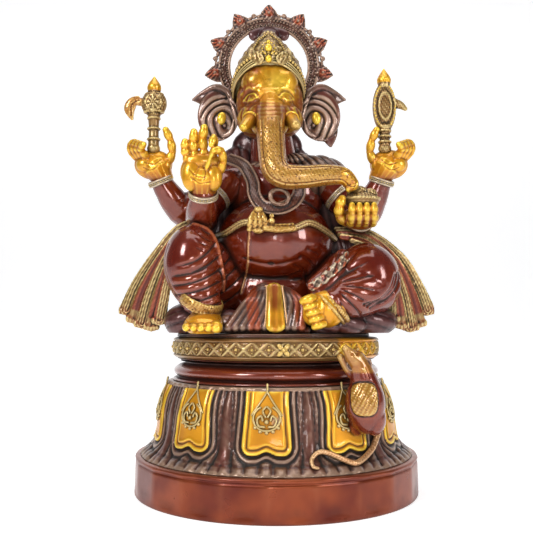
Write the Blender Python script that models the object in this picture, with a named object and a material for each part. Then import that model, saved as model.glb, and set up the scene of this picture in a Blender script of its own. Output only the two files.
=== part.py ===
"""Seated four-armed Ganesha idol on a turned lotus pedestal, as separate brass castings.

Metres, +Z up, the figure faces -Y. The origin is the middle of the pedestal's foot, on the floor.
The pedestal is four turned shells stacked on each other. The figure is a set of castings that plug
into each other with pegs, on a base plate that one tie rod pulls down onto the pedestal.

Every casting is a list of simple forms. A casting keeps its full shape against those that come
after it in the list: the later one is cut back by the earlier one's forms, grown by CLEARANCE.
"""

from dataclasses import dataclass, field
from math import cos, pi, radians, sin, sqrt

import bmesh
import bpy
from mathutils import Matrix, Vector

MM = 0.001

# Pedestal, in millimetres.
CLEARANCE = 0.3
WALL = 4.0
PLINTH_RADIUS = 205.0
PLINTH_HEIGHT = 54.0
FOOT_WIDTH = 16.0
SKIRT_HEIGHT = 104.0
SKIRT_TOP_RADIUS = 157.0
SKIRT_FLUTE_DEPTH = 1.5
PETAL_COUNT = 10
WAIST_HEIGHT = 32.0
WAIST_RADIUS = 131.0
DRUM_RADIUS = 152.0
DRUM_HEIGHT = 30.0
LEDGE = 26.0
TURNED_STEPS = 40

# Figure, in millimetres.
FIGURE_HEIGHT = 542.0
DESIGN_HEIGHT = 542.0
FIGURE_SHIFT_X = -4.0
BASE_PLATE_RADIUS = 141.0
BASE_PLATE_THICKNESS = 5.0
BELLY_RADII = (86, 78, 68)
HEAD_RADII = (52, 52, 54)
KNEE_RADII = (41, 45, 55)
ARM_RADIUS = 19.0
FINGER_RADIUS = 6.5
TRUNK_RADIUS = 19.0
HALO_INNER_RADIUS = 63.0
HALO_BAND_WIDTH = 18.0
HALO_THICKNESS = 9.0
FINIAL_LENGTH = 28.0
PEG_RADIUS = 6.0

# Hardware, in millimetres.
ROD_RADIUS = 6.0
ROD_PLAY = 0.5
NUT_HEIGHT = 10.0
NUT_ACROSS_FLATS = 19.0
WASHER_RADIUS = 18.0
WASHER_THICKNESS = 2.5
BAR_WIDTH = 32.0
BAR_THICKNESS = 8.0
SCREW_RADIUS = 2.5
SCREW_HEAD_RADIUS = 5.0
SCREW_HEAD_HEIGHT = 3.0
SCREW_LENGTH = 12.0
SCREW_COUNT = 4

BALL_SEGMENTS = 12
BALL_RINGS = 8
BEAD_SEGMENTS = 8
BEAD_RINGS = 4
LIMB_SIDES = 8
FINGER_SIDES = 6

# Levels of the stack, each piece a clearance above the last.
SKIRT_Z = PLINTH_HEIGHT + CLEARANCE
WAIST_Z = SKIRT_Z + SKIRT_HEIGHT + CLEARANCE
DRUM_Z = WAIST_Z + WAIST_HEIGHT + CLEARANCE
DECK_Z = DRUM_Z + DRUM_HEIGHT + CLEARANCE
FIGURE_SCALE = FIGURE_HEIGHT / DESIGN_HEIGHT
SEAT = BASE_PLATE_THICKNESS + CLEARANCE
HALO_ARC = 128.0
HALO_CENTRE = Vector((-6, 61, 434))

FINISHES = {
    "red_lacquer": ((0.20, 0.035, 0.018), 0.22, 0.6),
    "brown_patina": ((0.17, 0.075, 0.055), 0.42, 0.7),
    "gold_lacquer": ((0.72, 0.36, 0.03), 0.28, 0.8),
    "antique_brass": ((0.42, 0.27, 0.09), 0.38, 0.9),
    "steel": ((0.45, 0.45, 0.46), 0.45, 1.0),
}


# ---------------------------------------------------------------- meshes


def finish_bmesh(bm, name):
    """A mesh datablock from a bmesh whose faces are turned outwards."""
    bmesh.ops.remove_doubles(bm, verts=bm.verts, dist=1e-7)
    bmesh.ops.recalc_face_normals(bm, faces=bm.faces)
    mesh = bpy.data.meshes.new(name)
    bm.to_mesh(mesh)
    bm.free()
    return mesh


def ring_of(bm, points):
    """A closed loop of edges through the points, as a list of edges."""
    verts = [bm.verts.new(p) for p in points]
    return [bm.edges.new((a, b)) for a, b in zip(verts, verts[1:] + verts[:1])]


def smooth_stations(points, radii, per_span):
    """Points and radii on a Catmull-Rom curve through the given stations."""
    if per_span == 1 or len(points) < 3:
        return list(points), list(radii)
    rows = [tuple(p) + (r,) for p, r in zip(points, radii)]
    rows = [rows[0]] + rows + [rows[-1]]
    found = []
    for i in range(1, len(rows) - 2):
        before, start, end, after = rows[i - 1 : i + 3]
        for step in range(per_span):
            t = step / per_span
            found.append(
                [
                    0.5 * (2 * b + (c - a) * t + (2 * a - 5 * b + 4 * c - d) * t**2
                           + (3 * b - a - 3 * c + d) * t**3)
                    for a, b, c, d in zip(before, start, end, after)
                ]
            )
    found.append(list(rows[-2]))
    return [Vector(row[:3]) for row in found], [row[3] for row in found]


@dataclass(frozen=True)
class Ball:
    """An ellipsoid, turned by degrees about X, Y and Z."""

    centre: tuple
    radii: tuple
    turn: tuple = (0, 0, 0)
    segments: int = BALL_SEGMENTS
    rings: int = BALL_RINGS

    def mesh(self, grow):
        bm = bmesh.new()
        turn = Matrix.Identity(4)
        for angle, axis in zip(self.turn, "XYZ"):
            turn = Matrix.Rotation(radians(angle), 4, axis) @ turn
        size = Matrix.Diagonal([r * FIGURE_SCALE + grow for r in self.radii] + [1])
        bmesh.ops.create_uvsphere(
            bm,
            u_segments=self.segments,
            v_segments=self.rings,
            radius=1,
            matrix=Matrix.Translation(figure_point(self.centre)) @ turn @ size,
        )
        bmesh.ops.scale(bm, vec=(MM, MM, MM), verts=bm.verts)
        return finish_bmesh(bm, "ball")


@dataclass(frozen=True)
class Limb:
    """A tapered rod with round ends along a smooth curve; flat squeezes it along flat_axis."""

    points: tuple
    radii: tuple
    flat: float = 1.0
    flat_axis: tuple = (0, 1, 0)
    sides: int = LIMB_SIDES
    per_span: int = 2
    blunt: bool = False

    def stations(self, grow):
        """Centre, tangent and radius of each ring, with the rings that round the two ends."""
        points, radii = smooth_stations(
            [figure_point(p) for p in self.points],
            [r * FIGURE_SCALE + grow for r in self.radii],
            self.per_span,
        )
        last = len(points) - 1
        rows = []
        for i, (point, radius) in enumerate(zip(points, radii)):
            tangent = (points[min(i + 1, last)] - points[max(i - 1, 0)]).normalized()
            rows.append((point, tangent, radius))
        reach = [(grow, 1.0)] if self.blunt else [(0.7, 0.62)]
        head, tail = rows[0], rows[-1]
        before = [self.end_row(head, -1, *step) for step in reversed(reach)]
        after = [self.end_row(tail, 1, *step) for step in reach]
        return before + rows[self.blunt :][: len(rows) - 2 * self.blunt] + after

    def end_row(self, row, sign, ahead, share):
        point, tangent, radius = row
        step = ahead if self.blunt else ahead * radius * self.end_share()
        return point + tangent * sign * step, tangent, radius * share

    def end_share(self):
        return min(1.0, self.flat + 0.25)

    def mesh(self, grow):
        bm = bmesh.new()
        axis = Vector(self.flat_axis)
        loops = []
        for point, tangent, radius in self.stations(grow):
            side = tangent.cross(axis).normalized()
            depth = side.cross(tangent).normalized()
            thick = self.flat * radius + grow * (1 - self.flat)
            turns = [2 * pi * k / self.sides for k in range(self.sides)]
            loops.append(
                ring_of(bm, [point + side * radius * cos(a) + depth * thick * sin(a) for a in turns])
            )
        for near, far in zip(loops, loops[1:]):
            bmesh.ops.bridge_loops(bm, edges=near + far)
        for loop in (loops[0], loops[-1]):
            bmesh.ops.edgenet_fill(bm, edges=loop)
        bmesh.ops.scale(bm, vec=(MM, MM, MM), verts=bm.verts)
        return finish_bmesh(bm, "limb")


@dataclass(frozen=True)
class Block:
    """A box between two corners in figure millimetres, turned about its centre."""

    low: tuple
    high: tuple
    turn: tuple = (0, 0, 0)

    def mesh(self, grow):
        bm = bmesh.new()
        low, high = figure_point(self.low), figure_point(self.high)
        turn = Matrix.Identity(4)
        for angle, axis in zip(self.turn, "XYZ"):
            turn = Matrix.Rotation(radians(angle), 4, axis) @ turn
        size = Matrix.Diagonal([abs(s) + 2 * grow for s in high - low] + [1])
        bmesh.ops.create_cube(
            bm, size=1, matrix=Matrix.Translation((low + high) / 2) @ turn @ size
        )
        bmesh.ops.scale(bm, vec=(MM, MM, MM), verts=bm.verts)
        return finish_bmesh(bm, "block")


@dataclass(frozen=True)
class Turned:
    """A closed outline of (radius, height) pairs turned about a vertical axis, in millimetres."""

    outline: tuple
    steps: int = TURNED_STEPS
    flute: float = 0.0
    centre: tuple = (0, 0)

    def mesh(self, grow):
        bm = bmesh.new()
        edges = ring_of(bm, [(max(r, 0) + (grow if r > 0 else 0), 0, z) for r, z in self.outline])
        bmesh.ops.spin(
            bm,
            geom=list(bm.verts) + edges,
            cent=(0, 0, 0),
            axis=(0, 0, 1),
            angle=2 * pi,
            steps=self.steps,
            use_merge=True,
        )
        bmesh.ops.remove_doubles(bm, verts=bm.verts, dist=1e-4)
        if self.flute:
            for vert in bm.verts:
                out = Vector((vert.co.x, vert.co.y, 0))
                if out.length < 1:
                    continue
                turn = Vector((0, -1)).angle_signed(out.to_2d())
                vert.co += out.normalized() * self.flute * cos(PETAL_COUNT * turn)
        bmesh.ops.translate(bm, vec=(*self.centre, 0), verts=bm.verts)
        bmesh.ops.scale(bm, vec=(MM, MM, MM), verts=bm.verts)
        return finish_bmesh(bm, "turned")


def figure_point(point):
    """A point of the figure, given from the middle of the pedestal's deck, in the part's frame."""
    x, y, z = point
    return Vector((x * FIGURE_SCALE + FIGURE_SHIFT_X, y * FIGURE_SCALE, DECK_Z + z * FIGURE_SCALE))


def volume_of(mesh):
    """The volume inside a closed mesh, in cubic metres, or 0 if it has an open or doubled edge."""
    bm = bmesh.new()
    bm.from_mesh(mesh)
    closed = all(len(edge.link_faces) == 2 for edge in bm.edges)
    volume = bm.calc_volume(signed=True) if closed else 0.0
    bm.free()
    return volume


def one_boolean(base, operation, tool, solver):
    """The mesh that one Boolean with the given solver leaves."""
    target = bpy.data.objects.new("working", base)
    helper = bpy.data.objects.new("helper", tool)
    for obj in (target, helper):
        bpy.context.scene.collection.objects.link(obj)
    boolean = target.modifiers.new("join_or_cut", "BOOLEAN")
    boolean.operation = operation
    boolean.object = helper
    boolean.solver = solver
    graph = bpy.context.evaluated_depsgraph_get()
    result = bpy.data.meshes.new_from_object(target.evaluated_get(graph))
    for obj in (target, helper):
        bpy.data.objects.remove(obj)
    return result


def combined(base, steps):
    """The base mesh after a row of (operation, mesh) Booleans.

    Each is the exact solver's, unless that leaves a volume that can't be right.
    """
    slack = 1e-12
    for operation, tool in steps:
        before, size = volume_of(base), volume_of(tool)
        least = {"UNION": max(before, size), "DIFFERENCE": before - size, "INTERSECT": 0.0}
        most = {"UNION": before + size, "DIFFERENCE": before, "INTERSECT": min(before, size)}
        result = one_boolean(base, operation, tool, "EXACT")
        volume = volume_of(result)
        if not max(slack, least[operation] - slack) <= volume <= most[operation] + slack:
            result = one_boolean(base, operation, tool, "MANIFOLD")
        base = result
    return base


def largest_body(mesh):
    """The same mesh with the crumbs that a cut leaves beside its main body taken away."""
    bm = bmesh.new()
    bm.from_mesh(mesh)
    bmesh.ops.remove_doubles(bm, verts=bm.verts, dist=2e-6)
    left = set(bm.verts)
    bodies = []
    while left:
        body, edge = set(), [left.pop()]
        while edge:
            vert = edge.pop()
            body.add(vert)
            near = {e.other_vert(vert) for e in vert.link_edges} & left
            left -= near
            edge.extend(near)
        bodies.append(body)
    biggest = max(bodies, key=lambda body: box_volume([v.co for v in body]))
    bmesh.ops.delete(bm, geom=[v for v in bm.verts if v not in biggest], context="VERTS")
    bm.to_mesh(mesh)
    bm.free()
    return mesh


def box_of(points):
    """Lowest and highest corner of some points."""
    low = Vector([min(p[k] for p in points) for k in range(3)])
    high = Vector([max(p[k] for p in points) for k in range(3)])
    return low, high


def box_volume(points):
    low, high = box_of(points)
    size = high - low
    return size.x * size.y * size.z


def boxes_meet(first, second):
    (low_a, high_a), (low_b, high_b) = first, second
    return all(low_a[k] <= high_b[k] and low_b[k] <= high_a[k] for k in range(3))


# ---------------------------------------------------------------- castings


@dataclass
class Casting:
    """One piece: its forms, its pegs as (host name, form), and what is cut out of it.

    A core is a hollow left inside by the mould. The vent opens it, and is cut last.
    """

    name: str
    finish: str
    forms: list
    pegs: list = field(default_factory=list)
    cuts: list = field(default_factory=list)
    cores: list = field(default_factory=list)
    hollow_above: float = 0.0
    vent: Limb = None


def cavity_of(casting):
    """The core of a hollow casting: its forms shrunk by the wall, above its floor."""
    cores = [form.mesh(-WALL) for form in casting.forms]
    floor = Block((-400, -400, -300), (400, 400, casting.hollow_above))
    steps = [("UNION", core) for core in cores[1:]] + [("DIFFERENCE", floor.mesh(0))]
    return combined(cores[0], steps)


def build_casting(casting, earlier, later_pegs):
    """The node of one casting, cut back by the earlier ones and drilled for the later ones' pegs."""
    meshes = [form.mesh(0) for form in casting.forms]
    own_box = box_of([v.co for mesh in meshes for v in mesh.vertices])
    steps = [("UNION", mesh) for mesh in meshes[1:]]
    for form in earlier:
        cutter = form.mesh(CLEARANCE)
        if boxes_meet(own_box, box_of([v.co for v in cutter.vertices])):
            steps.append(("DIFFERENCE", cutter))
    steps += [("DIFFERENCE", cut.mesh(0)) for cut in casting.cuts]
    if casting.hollow_above:
        steps.append(("DIFFERENCE", cavity_of(casting)))
    steps += [("UNION", peg.mesh(0)) for host, peg in casting.pegs]
    steps += [("DIFFERENCE", core.mesh(0)) for core in casting.cores]
    if casting.vent:
        steps.append(("DIFFERENCE", casting.vent.mesh(0)))
    steps += [("DIFFERENCE", peg.mesh(CLEARANCE)) for peg in later_pegs]
    return add_node(casting.name, largest_body(combined(meshes[0], steps)), casting.finish)


def add_node(name, mesh, finish):
    """An object with the given mesh and finish; its name is the node's name."""
    mesh.name = name
    obj = bpy.data.objects.new(name, mesh)
    bpy.context.scene.collection.objects.link(obj)
    mesh.materials.clear()
    mesh.materials.append(material_of(finish))
    mesh.shade_smooth()
    mesh.set_sharp_from_angle(angle=radians(40))
    return obj


def material_of(finish):
    """The Principled material of a finish, made once."""
    found = bpy.data.materials.get(finish)
    if found:
        return found
    color, roughness, metallic = FINISHES[finish]
    made = bpy.data.materials.new(finish)
    made.use_nodes = True
    shader = made.node_tree.nodes["Principled BSDF"]
    shader.inputs["Base Color"].default_value = (*color, 1)
    shader.inputs["Roughness"].default_value = roughness
    shader.inputs["Metallic"].default_value = metallic
    made.diffuse_color = (*color, 1)
    return made


# ---------------------------------------------------------------- pedestal


def skirt_outline_outer():
    """The bell of the lotus skirt from its hem to its top, as (radius, height)."""
    hem = PLINTH_RADIUS - 7
    flare = hem - SKIRT_TOP_RADIUS
    flares = ((0, 1.0), (0.09, 0.66), (0.2, 0.47), (0.38, 0.37))
    necks = ((0.6, 0.32), (0.8, 0.2), (0.93, 0.07), (1, 0))
    shares = flares + necks
    return [(SKIRT_TOP_RADIUS + flare * f, SKIRT_Z + SKIRT_HEIGHT * h) for h, f in shares]


def shell_outline(outer, ledge_top, ledge_bottom=0.0):
    """A closed outline: the outer line up, then back down inside it by the wall, with flat ledges."""
    inner = [(r - WALL, z) for r, z in reversed(outer)]
    top = inner[0]
    bottom = inner[-1]
    inner[0] = (top[0], top[1] - WALL)
    inner[-1] = (bottom[0], bottom[1] + WALL)
    caps = []
    if ledge_top:
        caps = [(top[0] - ledge_top, top[1]), (top[0] - ledge_top, top[1] - WALL)]
    feet = []
    if ledge_bottom:
        feet = [(bottom[0] - ledge_bottom, bottom[1] + WALL), (bottom[0] - ledge_bottom, bottom[1])]
    else:
        inner[-1] = bottom
    if not ledge_top:
        inner[0] = top
    low, high = inner[-1][1], inner[0][1]
    between = [point for point in inner[1:-1] if low < point[1] < high]
    inner = [inner[0], *between, inner[-1]]
    return tuple(list(outer) + caps + inner + feet)


def plinth_outline():
    """The plain band at the floor: an inward foot, a wall and a ledge that carries the skirt."""
    edge = 2.5
    outer = [
        (PLINTH_RADIUS - edge, 0),
        (PLINTH_RADIUS, edge),
        (PLINTH_RADIUS, PLINTH_HEIGHT - 2 * edge),
        (PLINTH_RADIUS - edge, PLINTH_HEIGHT),
    ]
    return shell_outline(outer, LEDGE, FOOT_WIDTH)


def waist_outline():
    """The smooth hollow-sided neck between the skirt and the drum."""
    bottom, top = SKIRT_TOP_RADIUS - 5, DRUM_RADIUS - 7
    z, h = WAIST_Z, WAIST_HEIGHT
    outer = [
        (bottom, z),
        (bottom, z + 0.22 * h),
        (WAIST_RADIUS + 1, z + 0.46 * h),
        (WAIST_RADIUS + 1, z + 0.78 * h),
        (top, z + h),
    ]
    return shell_outline(outer, LEDGE, LEDGE)


def drum_outline():
    """The round cushion-like drum, with the deck across its top down to the rod's hole."""
    z, h = DRUM_Z, DRUM_HEIGHT
    outer = [
        (DRUM_RADIUS - 5, z),
        (DRUM_RADIUS, z + 0.2 * h),
        (DRUM_RADIUS, z + 0.8 * h),
        (DRUM_RADIUS - 5, z + h),
    ]
    return shell_outline(outer, DRUM_RADIUS - 5 - WALL - ROD_RADIUS - ROD_PLAY, LEDGE)


def envelope(outline, flute=0.0):
    """The outer side of a turned shell filled to its axis, for cutting back what leans on it."""
    middle = [(r, z) for r, z in outline]
    top = max(range(len(middle)), key=lambda i: (middle[i][1], middle[i][0]))
    outer = middle[: top + 1]
    return Turned(tuple([(0, outer[0][1])] + outer + [(0, outer[-1][1])]), flute=flute)


def screw_places():
    """Angles of the screws that hold the skirt to the plinth."""
    return [2 * pi * (k + 0.5) / SCREW_COUNT for k in range(SCREW_COUNT)]


def upright(x, y, low, high, radius, sides=16):
    """A plain round bar standing between two heights, as a mesh, in part millimetres."""
    bm = bmesh.new()
    size = Matrix.Diagonal((1, 1, high - low, 1))
    bmesh.ops.create_cone(
        bm,
        cap_ends=True,
        segments=sides,
        radius1=radius,
        radius2=radius,
        depth=1,
        matrix=Matrix.Translation((x, y, (low + high) / 2)) @ size,
    )
    bmesh.ops.scale(bm, vec=(MM, MM, MM), verts=bm.verts)
    return finish_bmesh(bm, "upright")


def build_pedestal():
    """Plinth, lotus skirt, waist and drum, screwed and stacked."""
    ring = PLINTH_RADIUS - 2.5 - WALL - 0.75 * LEDGE
    holes = [(ring * cos(a), ring * sin(a)) for a in screw_places()]
    screw_top = SKIRT_Z + SCREW_LENGTH - WALL
    plinth_cuts = [
        ("DIFFERENCE", upright(x, y, PLINTH_HEIGHT - 2 * WALL, SKIRT_Z, SCREW_RADIUS + CLEARANCE))
        for x, y in holes
    ]
    skirt_cuts = [
        ("DIFFERENCE", upright(x, y, PLINTH_HEIGHT, screw_top + CLEARANCE, SCREW_RADIUS + CLEARANCE))
        for x, y in holes
    ]
    plinth = combined(Turned(plinth_outline()).mesh(0), plinth_cuts)
    add_node("plinth", plinth, "red_lacquer")
    skirt = Turned(shell_outline(skirt_outline_outer(), LEDGE, LEDGE), flute=SKIRT_FLUTE_DEPTH)
    add_node("lotus_skirt", combined(skirt.mesh(0), skirt_cuts), "brown_patina")
    add_node("waist_ring", Turned(waist_outline()).mesh(0), "red_lacquer")
    add_node("seat_drum", Turned(drum_outline()).mesh(0), "antique_brass")
    head_top = PLINTH_HEIGHT - WALL - CLEARANCE
    for number, (x, y) in enumerate(holes, 1):
        head = upright(x, y, head_top - SCREW_HEAD_HEIGHT, head_top, SCREW_HEAD_RADIUS)
        shank = upright(x, y, head_top - 1, screw_top, SCREW_RADIUS)
        add_node(f"plinth_screw_{number}", combined(head, [("UNION", shank)]), "steel")


def build_tie_rod():
    """Cross bar, washer, rod and its two nuts, which pull the figure onto the pedestal."""
    bar_top = PLINTH_HEIGHT - WALL - CLEARANCE
    bar_low = bar_top - BAR_THICKNESS
    washer_low = bar_low - CLEARANCE - WASHER_THICKNESS
    nut_low = washer_low - CLEARANCE - NUT_HEIGHT
    floor_top = DECK_Z + TORSO_FLOOR * FIGURE_SCALE
    cap_low = floor_top + CLEARANCE
    cap_top = cap_low + NUT_HEIGHT
    reach = PLINTH_RADIUS - 2.5 - WALL - 4 * CLEARANCE
    hole = ROD_RADIUS + ROD_PLAY
    bm = bmesh.new()
    size = Matrix.Diagonal((2 * reach, BAR_WIDTH, BAR_THICKNESS, 1))
    middle = Matrix.Translation((0, 0, bar_low + BAR_THICKNESS / 2))
    bmesh.ops.create_cube(bm, size=1, matrix=middle @ size)
    bmesh.ops.scale(bm, vec=(MM, MM, MM), verts=bm.verts)
    bar = finish_bmesh(bm, "bar")
    drill = upright(0, 0, bar_low - 1, bar_top + 1, hole)
    trim = upright(0, 0, bar_low - 1, bar_top + 1, reach, TURNED_STEPS)
    fitted = combined(combined(bar, [("DIFFERENCE", drill)]), [("INTERSECT", trim)])
    add_node("cross_bar", fitted, "steel")
    washer = upright(0, 0, washer_low, washer_low + WASHER_THICKNESS, WASHER_RADIUS, 24)
    bore = upright(0, 0, washer_low - 1, bar_low, hole)
    add_node("washer", combined(washer, [("DIFFERENCE", bore)]), "steel")
    nut_radius = NUT_ACROSS_FLATS / sqrt(3)
    for name, low in (("lower_nut", nut_low), ("upper_nut", cap_low)):
        nut = upright(0, 0, low, low + NUT_HEIGHT, nut_radius, 6)
        tapped = upright(0, 0, low - 1, low + NUT_HEIGHT + 1, ROD_RADIUS + CLEARANCE)
        add_node(name, combined(nut, [("DIFFERENCE", tapped)]), "steel")
    add_node("tie_rod", upright(0, 0, nut_low - 3, cap_top + 4, ROD_RADIUS), "steel")


# ---------------------------------------------------------------- figure

TORSO_FLOOR = SEAT + 9.0
AXIS_X = -FIGURE_SHIFT_X / FIGURE_SCALE


def peg(start, end, radius=PEG_RADIUS):
    """A straight blunt peg between two figure points."""
    run = Vector(end) - Vector(start)
    axis = (0, 1, 0) if abs(run.normalized().y) < 0.9 else (0, 0, 1)
    return Limb((start, end), (radius, radius), flat_axis=axis, sides=8, per_span=1, blunt=True)


def core(centre, radii):
    """The hollow that the mould's core leaves inside a casting."""
    return Ball(centre, radii, segments=BEAD_SEGMENTS, rings=BEAD_RINGS)


def finger(points, radius=FINGER_RADIUS, axis=(0, 1, 0)):
    """A finger that thins a little towards its tip."""
    count = len(points) - 1
    radii = tuple(radius * (1 - 0.22 * i / count) for i in range(len(points)))
    return Limb(tuple(points), radii, flat_axis=axis, sides=FINGER_SIDES, per_span=1)


def raised_hand(side, centre_x):
    """The cupped upper hand: palm, thumb and four fingers, opening upwards; side is -1 or 1."""
    x = centre_x
    out = side
    forms = [
        Ball((x + 4 * out, -6, 258), (30, 15, 24)),
        Limb(((x - 10 * out, -5, 236), (x - 2 * out, -6, 252)), (17, 22), flat=0.7),
        finger([(x - 18 * out, -9, 256), (x - 27 * out, -12, 276), (x - 24 * out, -16, 292),
                (x - 16 * out, -19, 306)], 7.5),
    ]
    for k in range(4):
        reach = (18 + 5.5 * (3 - k)) * out
        lean = (2.0 * (3 - k) + 3) * out
        depth = -6 - 6.5 * k
        forms.append(
            finger([(x + reach * 0.62, -6 - 2 * k, 262), (x + reach + lean * 0.4, depth, 274),
                    (x + reach + lean, depth - 3, 288 - 3 * k)])
        )
    return forms


def blessing_hand():
    """The lower right hand, palm to the front: three fingers up, index curled to meet the thumb."""
    y = -108
    return [
        Ball((-96, y + 3, 223), (27, 12, 27)),
        Limb(((-97, -100, 200), (-96, y + 2, 214)), (17, 23), flat=0.62),
        finger([(-116, y, 238), (-120, y - 2, 252), (-121, y - 5, 266)]),
        finger([(-107, y, 240), (-109, y - 2, 262), (-110, y - 6, 281)], 7.2),
        finger([(-96, y, 240), (-97, y - 2, 266), (-97, y - 6, 287)], 7.4),
        finger([(-84, y, 238), (-82, y - 8, 260), (-83, y - 17, 266), (-84, y - 22, 254)], 7),
        finger([(-76, y, 222), (-68, y - 8, 238), (-72, y - 17, 250), (-80, y - 22, 246)], 7.5),
    ]


def bowl_hand():
    """The lower left hand, cupped under the sweet bowl, four fingers and the thumb going up round it."""
    forms = [
        Ball((119, -92, 164), (27, 20, 16)),
        Limb(((124, -76, 168), (120, -90, 165)), (17, 20), flat_axis=(0, 0, 1), flat=0.8),
        finger([(98, -96, 160), (90, -104, 168), (90, -106, 184)], 8),
    ]
    for k in range(4):
        x = 105 + 10 * k
        forms.append(finger([(x, -96, 156), (x + 1, -112, 160), (x + 1, -116, 178)]))
    return forms


def toes(start, end, radii, lift):
    """Five round toes spaced between two points, each a short ball."""
    start, end = Vector(start), Vector(end)
    spots = [start.lerp(end, k / 4) for k in range(5)]
    return [
        Ball(tuple(spot), (r, r * 1.3, r + lift), segments=BEAD_SEGMENTS, rings=BEAD_RINGS)
        for spot, r in zip(spots, radii)
    ]


def pleats(top, middle, hem, radii):
    """Flattened folds that fan out from the gather at the top to the hem."""
    return [
        Limb((a, b, c), radii, flat=0.85, sides=FINGER_SIDES, per_span=1)
        for a, b, c in zip(top, middle, hem)
    ]


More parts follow.
